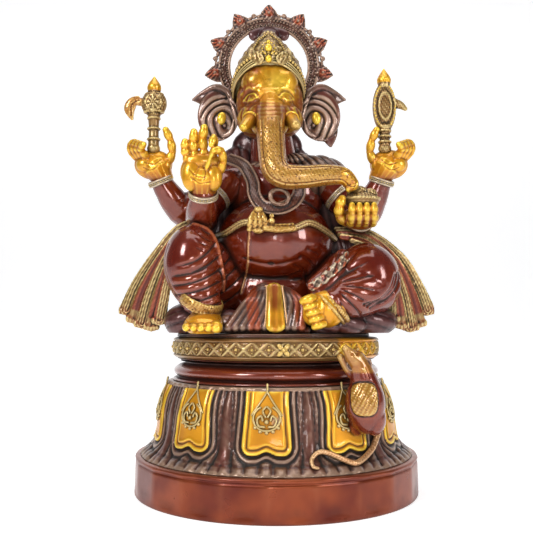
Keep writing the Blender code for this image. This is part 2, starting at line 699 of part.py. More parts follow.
def figure_castings():
    """All castings of the figure in the order in which they keep their shape."""
    shoulder_r, shoulder_l = (-66, 18, 236), (80, 18, 236)
    raised_wrist_r, raised_wrist_l = (-167, -4, 228), (161, -4, 228)
    castings = [
        Casting(
            "torso",
            "red_lacquer",
            [
                Ball((2, -20, 138), BELLY_RADII),
                Ball((0, 4, 60), (84, 72, 62)),
                Ball((8, 6, 214), (76, 52, 60)),
                Limb((shoulder_r, shoulder_l), (29, 29), flat_axis=(0, 1, 0), per_span=1),
                Limb(((2, 6, 250), (-2, 0, 292)), (34, 30), per_span=1),
            ],
            cuts=[Block((-300, -300, -300), (300, 300, SEAT))],
            hollow_above=TORSO_FLOOR,
            vent=peg((AXIS_X, 0, SEAT - 5), (AXIS_X, 0, TORSO_FLOOR + 5), ROD_RADIUS + ROD_PLAY),
        ),
        Casting(
            "head",
            "gold_lacquer",
            [
                Ball((-5, -12, 352), HEAD_RADII),
                Ball((-5, -22, 324), (50, 42, 32)),
                Ball((-24, -40, 366), (24, 20, 24)),
                Ball((14, -40, 366), (24, 20, 24)),
            ],
            pegs=[("torso", peg((-3, -2, 310), (-1, 2, 268), 16))],
            cores=[core((-5, -12, 350), (38, 38, 38))],
            vent=peg((-3, -2, 330), (-1, 3, 260), 8),
        ),
        Casting(
            "right_leg",
            "red_lacquer",
            [
                Ball((-113, -78, 102), KNEE_RADII),
                Limb(((-62, -18, 66), (-90, -44, 92), (-110, -74, 106)), (38, 42, 42)),
                Limb(((-113, -80, 92), (-103, -96, 62), (-93, -106, 44)), (39, 34, 24)),
            ],
            cuts=[Block((-300, -300, -300), (300, 300, SEAT))],
            pegs=[("torso", peg((-92, -44, 80), (-62, -14, 78), 9))],
            cores=[core((-116, -80, 98), (30, 34, 37))],
            vent=peg((-122, -66, 75), (-122, -66, 12), 6),
        ),
        Casting(
            "left_leg",
            "red_lacquer",
            [
                Ball((130, -70, 79), (48, 46, 53)),
                Limb(((64, -16, 64), (98, -34, 78), (134, -62, 84)), (40, 44, 46)),
                Limb(((136, -72, 72), (105, -98, 56), (80, -114, 44)), (42, 33, 24)),
            ],
            cuts=[Block((-300, -300, -300), (300, 300, SEAT))],
            pegs=[("torso", peg((92, -40, 80), (62, -14, 78), 9))],
            cores=[core((136, -72, 76), (36, 36, 37))],
            vent=peg((140, -66, 50), (140, -66, 12), 6),
        ),
        Casting(
            "right_foot",
            "gold_lacquer",
            [
                Limb(((-92, -96, 30), (-93, -112, 24), (-93, -134, 17)), (19, 24, 26), flat=0.5,
                     flat_axis=(0, 0, 1)),
                *toes((-112, -150, 14), (-74, -154, 15), (5.5, 5.5, 6, 6, 7.5), 1),
                Limb(((-93, -104, 46), (-93, -110, 26)), (18, 17), flat_axis=(1, 0, 0), per_span=1),
            ],
            cuts=[Block((-300, -300, -300), (300, 300, SEAT))],
            pegs=[("right_leg", peg((-93, -108, 36), (-96, -98, 62), 8))],
        ),
        Casting(
            "left_foot",
            "gold_lacquer",
            [
                Limb(((84, -114, 42), (66, -128, 40), (46, -136, 37)), (19, 22, 23), flat=0.5,
                     flat_axis=(0.35, 1, 0)),
                *toes((30, -142, 50), (52, -146, 15), (7.5, 6, 6, 5.5, 5.5), 0),
            ],
            cuts=[Block((-300, -300, -300), (300, 300, SEAT))],
            pegs=[("left_leg", peg((74, -122, 42), (98, -102, 50), 8))],
        ),
    ]
    arm = ARM_RADIUS
    castings += [
        Casting(
            "upper_right_arm",
            "red_lacquer",
            [
                Limb(((-74, 18, 228), (-108, 16, 206), (-138, 12, 190)), (26, 25, 23)),
                Limb(((-139, 12, 189), (-152, 5, 206), raised_wrist_r), (23, 21, arm - 2)),
            ],
            pegs=[("torso", peg((-100, 17, 214), (-62, 18, 234), 9))],
        ),
        Casting(
            "upper_left_arm",
            "red_lacquer",
            [
                Limb(((88, 18, 228), (118, 16, 206), (144, 12, 188)), (26, 25, 23)),
                Limb(((144, 12, 188), (152, 5, 206), raised_wrist_l), (23, 21, arm - 2)),
            ],
            pegs=[("torso", peg((110, 17, 212), (76, 18, 234), 9))],
        ),
        Casting(
            "lower_right_arm",
            "red_lacquer",
            [
                Limb(((-70, -14, 224), (-96, -30, 196), (-104, -46, 172)), (25, 25, 24),
                     flat_axis=(1, 0, 0)),
                Limb(((-104, -46, 172), (-101, -76, 176), (-97, -97, 192)), (24, 21, arm - 1),
                     flat_axis=(1, 0, 0)),
            ],
            pegs=[("torso", peg((-90, -26, 202), (-56, -16, 212), 9))],
        ),
        Casting(
            "lower_left_arm",
            "red_lacquer",
            [
                Limb(((84, -14, 224), (108, -20, 196), (122, -30, 176)), (25, 25, 24),
                     flat_axis=(1, 0, 0)),
                Limb(((122, -30, 176), (126, -52, 170), (124, -72, 168)), (24, 21, arm - 1),
                     flat_axis=(1, 0, 0)),
            ],
            pegs=[("torso", peg((103, -22, 201), (66, -16, 212), 9))],
        ),
        Casting("upper_right_hand", "gold_lacquer", raised_hand(-1, -177),
                pegs=[("upper_right_arm", peg((-170, -5, 244), (-164, -3, 216), 8))]),
        Casting("upper_left_hand", "gold_lacquer", raised_hand(1, 171),
                pegs=[("upper_left_arm", peg((164, -5, 244), (158, -3, 216), 8))]),
        Casting("lower_right_hand", "gold_lacquer", blessing_hand(),
                pegs=[("lower_right_arm", peg((-97, -104, 210), (-98, -90, 186), 8))]),
        Casting("lower_left_hand", "gold_lacquer", bowl_hand(),
                pegs=[("lower_left_arm", peg((121, -86, 167), (125, -62, 169), 8))]),
        Casting(
            "sweet_bowl",
            "antique_brass",
            [
                Ball((122, -94, 190), (24, 20, 15)),
                Ball((118, -98, 200), (10, 9, 8)),
                Ball((133, -96, 198), (9, 9, 8)),
            ],
            pegs=[("lower_left_hand", peg((118, -99, 184), (117, -101, 166), 5))],
        ),
        Casting(
            "trunk",
            "antique_brass",
            [
                Limb(
                    ((-4, -58, 334), (-4, -80, 304), (-3, -92, 264), (1, -105, 232), (16, -112, 220),
                     (40, -116, 217), (72, -115, 219), (94, -112, 218), (105, -108, 209)),
                    (27, TRUNK_RADIUS + 3, TRUNK_RADIUS + 1, TRUNK_RADIUS, TRUNK_RADIUS - 1,
                     TRUNK_RADIUS - 2.5, TRUNK_RADIUS - 4.5, TRUNK_RADIUS - 6.5, TRUNK_RADIUS - 8),
                    flat_axis=(1, 0.6, 0.2),
                    sides=12,
                )
            ],
            pegs=[("head", peg((-4, -68, 328), (-5, -40, 336), 10))],
        ),
        Casting("right_tusk", "gold_lacquer",
                [Limb(((-32, -54, 314), (-37, -74, 302), (-42, -92, 290)), (9.5, 8.5, 6),
                      flat_axis=(1, 0, 0), sides=FINGER_SIDES)],
                pegs=[("head", peg((-36, -74, 304), (-36, -44, 316), 4))]),
        Casting("left_tusk", "gold_lacquer",
                [Limb(((24, -54, 314), (28, -72, 304), (31, -84, 296)), (9.5, 8.5, 7.5),
                      flat_axis=(1, 0, 0), sides=FINGER_SIDES)],
                pegs=[("head", peg((27, -74, 304), (28, -44, 316), 4))]),
        Casting(
            "right_ear",
            "brown_patina",
            [
                Ball((-82, 2, 338), (30, 9, 40), (0, 12, 12)),
                Limb(((-84, 2, 352), (-104, 4, 362), (-120, 7, 361)), (20, 13, 3), flat=0.4),
                Limb(((-88, 2, 326), (-96, 3, 310), (-100, 3, 300)), (22, 13, 4), flat=0.4),
            ],
            pegs=[("head", peg((-66, -2, 346), (-42, -6, 346), 6))],
        ),
        Casting(
            "left_ear",
            "brown_patina",
            [
                Ball((72, 2, 338), (30, 9, 40), (0, -12, -12)),
                Limb(((74, 2, 352), (93, 4, 362), (108, 7, 362)), (20, 13, 3), flat=0.4),
                Limb(((76, 2, 324), (85, 3, 304), (90, 3, 289)), (22, 14, 4), flat=0.4),
            ],
            pegs=[("head", peg((56, -2, 346), (32, -6, 346), 6))],
        ),
        Casting(
            "crown",
            "antique_brass",
            [
                Ball((-5, -6, 384), (57, 58, 50)),
                Ball((-5, -18, 418), (30, 28, 26)),
                Limb(((-5, -18, 430), (-5, -18, 446), (-5, -18, 456)), (14, 9, 4)),
            ],
            cuts=[Block((-200, -250, 100), (200, 250, 372), (-20, 0, 0))],
            pegs=[("head", peg((-5, -10, 412), (-5, -12, 388), 7))],
        ),
    ]
    castings += [
        halo_casting(),
        axe_casting(),
        noose_casting(),
        Casting(
            "right_drape",
            "antique_brass",
            pleats(
                [(-128 - 2 * k, -40 - 2 * k, 150 - 3 * k) for k in range(5)],
                [(-178 + 6 * k, -30 - 3 * k, 112 - 3 * k) for k in range(5)],
                [(-211, -24, 34), (-201, -28, 22), (-187, -32, 16), (-173, -36, 14), (-160, -40, 30)],
                (11, 12, 10),
            ),
            pegs=[("right_leg", peg((-150, -50, 118), (-128, -62, 112), 5))],
        ),
        Casting(
            "left_drape",
            "antique_brass",
            pleats(
                [(128 + 2 * k, -30 - 2 * k, 138 - 3 * k) for k in range(6)],
                [(198 - 6 * k, -24 - 3 * k, 105 - 3 * k) for k in range(6)],
                [(225, -24, 34), (213, -28, 18), (198, -32, 13), (184, -36, 18), (168, -42, 26),
                 (156, -46, 28)],
                (12, 12, 10),
            ),
            pegs=[("left_leg", peg((178, -42, 104), (154, -58, 96), 5))],
        ),
        Casting(
            "front_pleats",
            "brown_patina",
            pleats(
                [(-20 + 5 * k, -98, 66) for k in range(6)],
                [(-34 + 11 * k, -116, 44) for k in range(6)],
                [(-52 + 15 * k, -128, 17) for k in range(6)],
                (10, 10, 9),
            ),
            cuts=[Block((-300, -300, -300), (300, 300, SEAT))],
            pegs=[("torso", peg((-4, -92, 56), (-3, -52, 60), 6))],
        ),
        Casting(
            "shoulder_shawl",
            "brown_patina",
            [Ball((66, 2, 236), (50, 46, 37)), Ball((34, 4, 262), (34, 36, 14))],
            pegs=[("torso", peg((50, -34, 250), (46, -16, 244), 3))],
        ),
        Casting(
            "garland",
            "brown_patina",
            [
                Limb(
                    ((-52, -30, 262), (-44, -50, 238), (-28, -66, 212), (-14, -90, 186),
                     (8, -98, 178), (30, -92, 186), (40, -72, 206), (50, -56, 222)),
                    (9, 10, 11, 10, 9, 9, 8, 8), flat=0.55, flat_axis=(0, 1, 0.5))
            ],
            pegs=[("torso", peg((8, -98, 178), (6, -80, 172), 3))],
        ),
        Casting(
            "serpent_belt",
            "antique_brass",
            [
                Limb(
                    ((-84, -30, 152), (-66, -68, 150), (-38, -92, 158), (-6, -102, 149),
                     (26, -100, 149), (50, -86, 158), (74, -60, 150), (88, -34, 146)),
                    (5, 6, 6, 7, 7, 6, 6, 5), flat_axis=(0, 0, 1), sides=FINGER_SIDES),
                Ball((-8, -100, 163), (9, 7, 12)),
            ],
            pegs=[("torso", peg((8, -102, 149), (6, -84, 149), 3))],
        ),
    ]
    return castings


def halo_casting():
    """A flat arch behind the head with seven flame finials, and a cross bar that carries it."""
    forms = []
    centre = HALO_CENTRE
    middle = HALO_INNER_RADIUS + HALO_BAND_WIDTH / 2
    count = 21
    arch = []
    for k in range(count):
        angle = radians(-HALO_ARC + 2 * HALO_ARC * k / (count - 1))
        arch.append(tuple(centre + Vector((sin(angle), 0, cos(angle))) * middle))
    half = HALO_BAND_WIDTH / 2
    flat = HALO_THICKNESS / HALO_BAND_WIDTH
    forms.append(Limb(tuple(arch), (half,) * count, flat=flat, per_span=1, sides=8))
    reach = HALO_INNER_RADIUS + HALO_BAND_WIDTH
    for k in range(-3, 4):
        angle = radians(32.5 * k)
        out = Vector((sin(angle), 0, cos(angle)))
        run = [tuple(centre + out * (reach - 6 + share * FINIAL_LENGTH)) for share in (0, 0.5, 1)]
        forms.append(Limb(tuple(run), (12, 8.5, 2), flat=0.42, sides=FINGER_SIDES, per_span=1))
    for k in range(-3, 3):
        angle = radians(32.5 * (k + 0.5))
        out = Vector((sin(angle), 0, cos(angle)))
        forms.append(Ball(tuple(centre + out * (reach + 1)), (6, 4, 6), segments=6, rings=4))
    low = radians(HALO_ARC)
    left = centre + Vector((-sin(low), 0, cos(low))) * middle
    right = centre + Vector((sin(low), 0, cos(low))) * middle
    forms.append(Limb((tuple(left), tuple(right)), (8, 8), flat=0.5, per_span=1, sides=8))
    return Casting("halo", "brown_patina", forms,
                   pegs=[("crown", peg((-6, 61, 389), (-6, 38, 389), 6))])


def axe_casting():
    """The axe in the upper right hand: shaft, hub, bud finial and a leaf-shaped blade."""
    x, y = -180, -13
    return Casting(
        "axe",
        "antique_brass",
        [
            Limb(((x + 2, y, 284), (x + 2, y, 310), (x, y, 336)), (8, 9, 10), per_span=1),
            Ball((x, y, 350), (20, 13, 21)),
            Limb(((x - 1, y, 364), (x - 2, y, 377), (x - 2, y, 389)), (11, 10.5, 3)),
            Limb(((x - 14, y, 347), (x - 26, y, 342), (x - 30, y, 341)), (6, 7, 7), flat=0.6,
                 per_span=1),
            Ball((x - 34, y, 339), (9.5, 5, 15), (0, 12, 0)),
        ],
        pegs=[("upper_right_hand", peg((x + 2, y, 292), (x + 1, y + 4, 262), 5))],
    )


def noose_casting():
    """The noose in the upper left hand: a doubled rope loop with a bud on top and a curled end."""
    x, y = 168, -13
    return Casting(
        "noose",
        "antique_brass",
        [
            Ball((x, y, 344), (18, 10, 40)),
            Limb(((x + 2, y, 284), (x + 1, y, 310)), (8, 12), per_span=1, flat=0.85),
            Limb(((x + 2, y, 378), (x + 3, y, 390), (x + 3, y, 401)), (10, 9.5, 3)),
            Limb(((x + 10, y, 354), (x + 20, y - 3, 347), (x + 27, y - 4, 343)), (7, 8, 8)),
        ],
        pegs=[("upper_left_hand", peg((x + 2, y, 292), (x + 2, y + 4, 262), 5))],
    )


def on_skirt(x, z, proud):
    """A figure point standing proud of the skirt's front at a given x and height above the floor."""
    line = skirt_outline_outer()
    radius = line[-1][0]
    for (r0, z0), (r1, z1) in zip(line, line[1:]):
        if z0 <= z <= z1:
            radius = r0 + (r1 - r0) * (z - z0) / (z1 - z0)
    y = -sqrt(max((radius + proud) ** 2 - (x + FIGURE_SHIFT_X) ** 2, 1.0))
    return (x / FIGURE_SCALE, y / FIGURE_SCALE, (z - DECK_Z) / FIGURE_SCALE)


def mouse_castings():
    """The mouse that climbs the right of the pedestal, and its long tail on the skirt's hem."""
    x, y = 120, -148
    tail_run = ((132, 94), (124, 76), (104, 66), (88, 70), (68, 79), (55, 81), (46, 74), (48, 64))
    tail = tuple(on_skirt(tx, tz, 5.0) for tx, tz in tail_run)
    mouse = Casting(
        "mouse",
        "red_lacquer",
        [
            Ball((x, y, -86), (25, 24, 37)),
            Limb(((x - 2, y + 2, -66), (x - 9, y, -42), (x - 15, y - 3, -28)), (20, 16, 13)),
            Limb(((x - 15, y - 4, -27), (x - 24, y - 10, -20), (x - 31, y - 14, -14)), (13, 9, 4),
                 flat_axis=(0, 0, 1)),
            Ball((x - 8, y - 4, -15), (6, 3, 6)),
            Ball((x - 22, y + 4, -14), (6, 3, 6)),
            Limb(((x - 20, y, -46), (x - 30, y + 2, -34), (x - 33, y - 2, -22)), (6, 5, 4),
                 flat_axis=(1, 0, 0), sides=FINGER_SIDES),
        ],
        pegs=[("lotus_skirt", peg((x, y + 6, -80), (x - 16, y + 44, -80), 4))],
    )
    rope = Casting(
        "mouse_tail",
        "antique_brass",
        [Limb(tail, (4.2, 4, 3.8, 3.6, 3.4, 3.2, 3, 2.8), sides=FINGER_SIDES)],
        pegs=[("lotus_skirt", peg(on_skirt(88, 70, 5.0), on_skirt(86, 70, -8.0), 1.8))],
    )
    return [mouse, rope]


def build_figure():
    """Base plate, castings and the halo's screw, each cut and drilled for its neighbours."""
    top = DECK_Z + BASE_PLATE_THICKNESS * FIGURE_SCALE
    radius = BASE_PLATE_RADIUS * FIGURE_SCALE
    plate = Turned(
        ((0, DECK_Z), (radius, DECK_Z), (radius + 1, (DECK_Z + top) / 2), (radius - 1, top), (0, top)),
        centre=(FIGURE_SHIFT_X, 0),
    )
    drill = upright(0, 0, DECK_Z - 1, top + 1, ROD_RADIUS + ROD_PLAY)
    add_node("base_plate", combined(plate.mesh(0), [("DIFFERENCE", drill)]), "brown_patina")
    castings = figure_castings()
    kept = []
    for casting in castings:
        drills = [p for other in castings for host, p in other.pegs if host == casting.name]
        build_casting(casting, kept, drills)
        kept += casting.forms + [form for _, form in casting.pegs]
    stack = [envelope(line()) for line in (waist_outline, drum_outline)]
    stack.append(envelope(shell_outline(skirt_outline_outer(), LEDGE), SKIRT_FLUTE_DEPTH))
    stack.append(envelope(plinth_outline()))
    climbers = mouse_castings()
    for casting in climbers:
        build_casting(casting, stack, [])
        stack += casting.forms + [form for _, form in casting.pegs]
    skirt = bpy.data.objects["lotus_skirt"]
    drilled = [("DIFFERENCE", p.mesh(CLEARANCE)) for c in climbers for _, p in c.pegs]
    skirt.data = combined(skirt.data, drilled)


def main():
    for obj in list(bpy.data.objects):
        bpy.data.objects.remove(obj)
    build_pedestal()
    build_tie_rod()
    build_figure()


main()
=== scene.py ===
"""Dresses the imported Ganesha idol: a cast brass figure with red, brown and gold lacquer.

Every casting is modelled afresh in the place of its CAD node. Soft masses are pressed together
from balls and rods, fused into one skin, then chased with folds, lines and ornaments. The hidden
hardware keeps its CAD nodes. Sizes are millimetres in the figure's own frame, which stands on the
deck of the pedestal, unless a name ends in _m.
"""

from __future__ import annotations

import logging
import math
from dataclasses import dataclass
from enum import Enum
from typing import Iterable, Sequence

import bmesh
import bpy
import numpy as np
from mathutils import Matrix, Vector

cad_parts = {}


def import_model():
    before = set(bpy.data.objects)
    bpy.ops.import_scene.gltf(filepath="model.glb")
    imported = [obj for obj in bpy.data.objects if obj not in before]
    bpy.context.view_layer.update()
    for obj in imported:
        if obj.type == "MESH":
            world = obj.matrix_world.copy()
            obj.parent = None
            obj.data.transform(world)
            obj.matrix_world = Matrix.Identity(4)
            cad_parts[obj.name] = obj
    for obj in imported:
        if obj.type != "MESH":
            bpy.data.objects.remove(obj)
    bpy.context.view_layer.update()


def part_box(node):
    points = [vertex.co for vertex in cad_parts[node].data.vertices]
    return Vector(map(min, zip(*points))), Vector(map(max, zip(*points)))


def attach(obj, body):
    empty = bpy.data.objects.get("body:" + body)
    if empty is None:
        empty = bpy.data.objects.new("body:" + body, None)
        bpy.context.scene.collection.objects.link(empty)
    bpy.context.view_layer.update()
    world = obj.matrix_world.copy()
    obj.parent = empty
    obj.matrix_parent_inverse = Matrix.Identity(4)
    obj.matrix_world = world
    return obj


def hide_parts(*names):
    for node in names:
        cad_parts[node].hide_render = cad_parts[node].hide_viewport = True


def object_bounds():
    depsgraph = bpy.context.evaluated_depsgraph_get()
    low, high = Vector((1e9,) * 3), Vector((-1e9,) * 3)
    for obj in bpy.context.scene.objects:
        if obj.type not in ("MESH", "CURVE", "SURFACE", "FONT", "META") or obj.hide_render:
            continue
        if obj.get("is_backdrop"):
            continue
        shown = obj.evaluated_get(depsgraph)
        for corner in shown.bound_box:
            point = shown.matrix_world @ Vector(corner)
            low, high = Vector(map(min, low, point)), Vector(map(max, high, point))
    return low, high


LOG = logging.getLogger("idol")
MM = 0.001
BODY = "root"

Point = Sequence[float]
Array = np.ndarray
Socket = bpy.types.NodeSocket


class Slot(Enum):
    """Names of material slots."""

    RED = "red_lacquer"
    BROWN = "brown_patina"
    GOLD = "gold_lacquer"
    BRASS = "antique_brass"
    STEEL = "steel"


# ------------------------------------------------------------------ shaping helpers


def eased(values: Array, low: float, high: float) -> Array:
    """Rises smoothly from 0 at low to 1 at high.

    Args:
        values: Any array.
        low: Where the rise starts.
        high: Where it ends. It may be below low, for a fall.

    Returns:
        An array of shares.
    """
    share = np.clip((values - low) / (high - low), 0.0, 1.0)
    return share * share * (3.0 - 2.0 * share)


def hump(distance: Array, width: float) -> Array:
    """A bell-shaped bump of height 1 and the given half width."""
    return np.exp(-((distance / width) ** 2))


def waves(x: Array, y: Array, z: Array, size: float) -> Array:
    """Gentle unevenness between -1 and 1, as a hand-finished casting has.

    Args:
        x: First coordinate.
        y: Second coordinate.
        z: Third coordinate.
        size: Length of the waves.

    Returns:
        The height at each point.
    """
    a, b, c = x / size, y / size, z / size
    first = np.sin(1.7 * a + 2.3 * b + 0.4) * np.sin(2.1 * c - 1.3 * a + 1.1)
    second = np.sin(3.9 * b - 2.7 * c + 2.0) * np.sin(3.1 * a + 1.9 * c)
    return 0.65 * first + 0.35 * second


def curve(points: Sequence[Point], per_span: int = 6) -> list[list[float]]:
    """Points on a smooth curve through the given ones.

    Args:
        points: Points of any dimension.
        per_span: Steps between two given points.

    Returns:
        The points of the curve, ends included.
    """
    rows = [list(map(float, p)) for p in points]
    if len(rows) < 3 or per_span == 1:
        return rows
    padded = [rows[0], *rows, rows[-1]]
    found = []
    for before, start, end, after in zip(padded, padded[1:], padded[2:], padded[3:]):
        for step in range(per_span):
            t = step / per_span
            found.append(
                [
                    0.5
                    * (
                        2 * b
                        + (c - a) * t
                        + (2 * a - 5 * b + 4 * c - d) * t**2
                        + (3 * b - a - 3 * c + d) * t**3
                    )
                    for a, b, c, d in zip(before, start, end, after)
                ]
            )
    found.append(rows[-1])
    return found


def line_distance(x: Array, z: Array, line: Sequence[Point]) -> tuple[Array, Array]:
    """Distance from each point of a plane to a line of points.

    Args:
        x: First coordinates.
        z: Second coordinates.
        line: Corners of the line as (x, z).

    Returns:
        The distances, and the share of the way along the line of the nearest spot.
    """
    corners = np.array(line, float)
    lengths = np.linalg.norm(np.diff(corners, axis=0), axis=1)
    starts = np.concatenate([[0.0], np.cumsum(lengths)])
    best = np.full(x.shape, 1e9)
    share = np.zeros(x.shape)
    for i, length in enumerate(lengths):
        run = (corners[i + 1] - corners[i]) / max(length, 1e-9)
        dx, dz = x - corners[i][0], z - corners[i][1]
        t = np.clip(dx * run[0] + dz * run[1], 0.0, length)
        away = np.hypot(dx - t * run[0], dz - t * run[1])
        nearer = away < best
        best = np.where(nearer, away, best)
        share = np.where(nearer, (starts[i] + t) / max(starts[-1], 1e-9), share)
    return best, share


def mesh_from(bm: bmesh.types.BMesh, name: str) -> bpy.types.Mesh:
    """Writes a bmesh to a mesh with its faces outwards, and frees it."""
    bmesh.ops.remove_doubles(bm, verts=bm.verts, dist=1e-7)
    bmesh.ops.recalc_face_normals(bm, faces=bm.faces)
    mesh = bpy.data.meshes.new(name)
    bm.to_mesh(mesh)
    bm.free()
    return mesh


@dataclass(frozen=True)
class Place:
    """Where the figure's own frame stands in the row's frame."""

    shift: float
    deck: float

    def at(self, point: Point) -> Vector:
        """A figure point in metres in the row's frame."""
        x, y, z = point
        return Vector((x + self.shift, y, z + self.deck)) * MM

    def own(self, coords: Array) -> Array:
        """Row coordinates in metres as figure millimetres."""
        return coords / MM - np.array([self.shift, 0.0, self.deck])

    def row(self, coords: Array) -> Array:
        """Figure millimetres as row coordinates in metres."""
        return (coords + np.array([self.shift, 0.0, self.deck])) * MM


ON_FLOOR = Place(0.0, 0.0)


class Clay:
    """Soft masses and ornaments that gather in one bmesh."""

    def __init__(self, place: Place) -> None:
        """Starts empty.

        Args:
            place: The frame that its points are in.
        """
        self.place = place
        self.bm = bmesh.new()

    def ball(
        self,
        centre: Point,
        radii: Point,
        turn: Point = (0, 0, 0),
        segments: int = 24,
        rings: int = 14,
    ) -> Clay:
        """Adds an ellipsoid.

        Args:
            centre: Its middle.
            radii: Its three radii.
            turn: Degrees about X, Y and Z.
            segments: Faces round it.
            rings: Faces from pole to pole.

        Returns:
            This clay.
        """
        spin = Matrix.Identity(4)
        for angle, axis in zip(turn, "XYZ"):
            spin = Matrix.Rotation(math.radians(angle), 4, axis) @ spin
        size = Matrix.Diagonal([r * MM for r in radii] + [1])
        where = Matrix.Translation(self.place.at(centre))
        bmesh.ops.create_uvsphere(
            self.bm, u_segments=segments, v_segments=rings, radius=1, matrix=where @ spin @ size
        )
        return self

    def bead(self, centre: Point, radius: float, fine: int = 1) -> Clay:
        """Adds a small round bead of a few dozen faces."""
        bmesh.ops.create_icosphere(
            self.bm,
            subdivisions=fine,
            radius=radius * MM,
            matrix=Matrix.Translation(self.place.at(centre)),
        )
        return self

    def string(self, line: Sequence[Point], radius: float, gap: float = 2.0) -> Clay:
        """Adds beads along a line.

        Args:
            line: The points that it follows.
            radius: Of each bead.
            gap: Distance between beads, in radii.

        Returns:
            This clay.
        """
        corners = np.array(line, float)
        steps = np.linalg.norm(np.diff(corners, axis=0), axis=1)
        along = np.concatenate([[0.0], np.cumsum(steps)])
        count = max(2, int(along[-1] / (gap * radius)))
        for place in np.linspace(0.0, along[-1], count):
            spot = [float(np.interp(place, along, corners[:, k])) for k in range(3)]
            self.bead(spot, radius)
        return self

    def rod(
        self,
        points: Sequence[Point],
        radii: Sequence[float],
        flat: float = 1.0,
        flat_axis: Point = (0, 1, 0),
        sides: int = 16,
        per_span: int = 5,
    ) -> Clay:
        """Adds a tapered rod with round ends along a smooth curve.

        Args:
            points: The curve's points.
            radii: The radius at each.
            flat: Thickness along flat_axis as a share of the radius.
            flat_axis: The way it's flattened.
            sides: Faces round it.
            per_span: Steps between two points.

        Returns:
            This clay.
        """
        rows = curve([[*p, r] for p, r in zip(points, radii)], per_span)
        spots = [self.place.at(row[:3]) for row in rows]
        sizes = [row[3] * MM for row in rows]
        last = len(spots) - 1
        runs = [
            (spots[min(i + 1, last)] - spots[max(i - 1, 0)]).normalized() for i in range(last + 1)
        ]
        short = min(1.0, flat + 0.3)
        ends = ((0.45, 0.9), (0.8, 0.6), (0.97, 0.22))
        first = [
            (spots[0] - runs[0] * sizes[0] * a * short, runs[0], sizes[0] * s) for a, s in ends
        ]
        final = [
            (spots[-1] + runs[-1] * sizes[-1] * a * short, runs[-1], sizes[-1] * s) for a, s in ends
        ]
        stations = [*reversed(first), *zip(spots, runs, sizes), *final]
        frames = []
        for spot, run, size in stations:
            side = run.cross(Vector(flat_axis)).normalized()
            deep = side.cross(run).normalized()
            turn = Matrix((side, deep, run)).transposed().to_4x4()
            frames.append(
                Matrix.Translation(spot) @ turn @ Matrix.Diagonal((size, size * flat, size, 1))
            )
        self.sweep(frames, sides)
        return self

    def sweep(self, frames: Sequence[Matrix], sides: int) -> None:
        """Extrudes a circle from frame to frame and closes both ends.

        Args:
            frames: Where the unit circle goes, in turn.
            sides: Its number of sides.
        """
        bm = self.bm
        made = bmesh.ops.create_circle(
            bm, cap_ends=True, segments=sides, radius=1, matrix=frames[0]
        )
        loop = list({edge for vert in made["verts"] for edge in vert.link_edges})
        for before, after in zip(frames, frames[1:]):
            grown = bmesh.ops.extrude_edge_only(bm, edges=loop)["geom"]
            verts = [item for item in grown if isinstance(item, bmesh.types.BMVert)]
            fresh = set(verts)
            loop = [
                item
                for item in grown
                if isinstance(item, bmesh.types.BMEdge) and set(item.verts) <= fresh
            ]
            bmesh.ops.transform(bm, matrix=after @ before.inverted(), verts=verts)
        bmesh.ops.edgenet_fill(bm, edges=loop)

    def hoop(
        self, centre: Point, axis: Point, radii: tuple[float, float], thick: float,
        tall: float = 1.0,
    ) -> Clay:
        """Adds a closed ring.

        Args:
            centre: Its middle.
            axis: The way its hole runs.
            radii: Across its two ways.
            thick: Radius of its wire.
            tall: Height of the wire as a share of thick.

        Returns:
            This clay.
        """
        turn = Vector((0, 0, 1)).rotation_difference(Vector(axis)).to_matrix().to_4x4()
        where = Matrix.Translation(self.place.at(centre)) @ turn
        fresh = bmesh.ops.create_circle(
            self.bm,
            segments=10,
            radius=1,
            matrix=Matrix.Translation((1, 0, 0)) @ Matrix.Rotation(math.pi / 2, 4, "X"),
        )["verts"]
        wire = Matrix.Diagonal((thick / radii[0], 1, thick * tall, 1))
        hub = Matrix.Translation((1, 0, 0))
        bmesh.ops.transform(self.bm, matrix=hub @ wire @ hub.inverted(), verts=fresh)
        edges = list({edge for vert in fresh for edge in vert.link_edges})
        bmesh.ops.spin(
            self.bm,
            geom=[*fresh, *edges],
            cent=(0, 0, 0),
            axis=(0, 0, 1),
            angle=2 * math.pi,
            steps=36,
            use_merge=True,
        )
        seen, front = set(fresh), list(fresh)
        while front:
            vert = front.pop()
            for edge in vert.link_edges:
                other = edge.other_vert(vert)
                if other not in seen:
                    seen.add(other)
                    front.append(other)
        size = Matrix.Diagonal((radii[0] * MM, radii[1] * MM, MM, 1))
        bmesh.ops.transform(self.bm, matrix=where @ size, verts=list(seen))
        return self

    def fused(self, name: str, voxel: float, rounds: int = 2) -> Skin:
        """Fuses everything so far into one skin.

        Args:
            name: The mesh's name.
            voxel: Size of its facets.
            rounds: How often it's smoothed.

        Returns:
            The skin, ready to be chased.
        """
        helper = bpy.data.objects.new(name, mesh_from(self.bm, name))
        bpy.context.scene.collection.objects.link(helper)
        remesh = helper.modifiers.new("fuse", "REMESH")
        remesh.mode = "VOXEL"
        remesh.voxel_size = voxel * MM
        remesh.adaptivity = 0
        graph = bpy.context.evaluated_depsgraph_get()
        mesh = bpy.data.meshes.new_from_object(helper.evaluated_get(graph))
        bpy.data.objects.remove(helper)
        skin = Skin(mesh, self.place)
        skin.soften(rounds)
        return skin

    def plain(self, name: str) -> Skin:
        """The gathered masses as they are, unfused."""
        return Skin(mesh_from(self.bm, name), self.place)


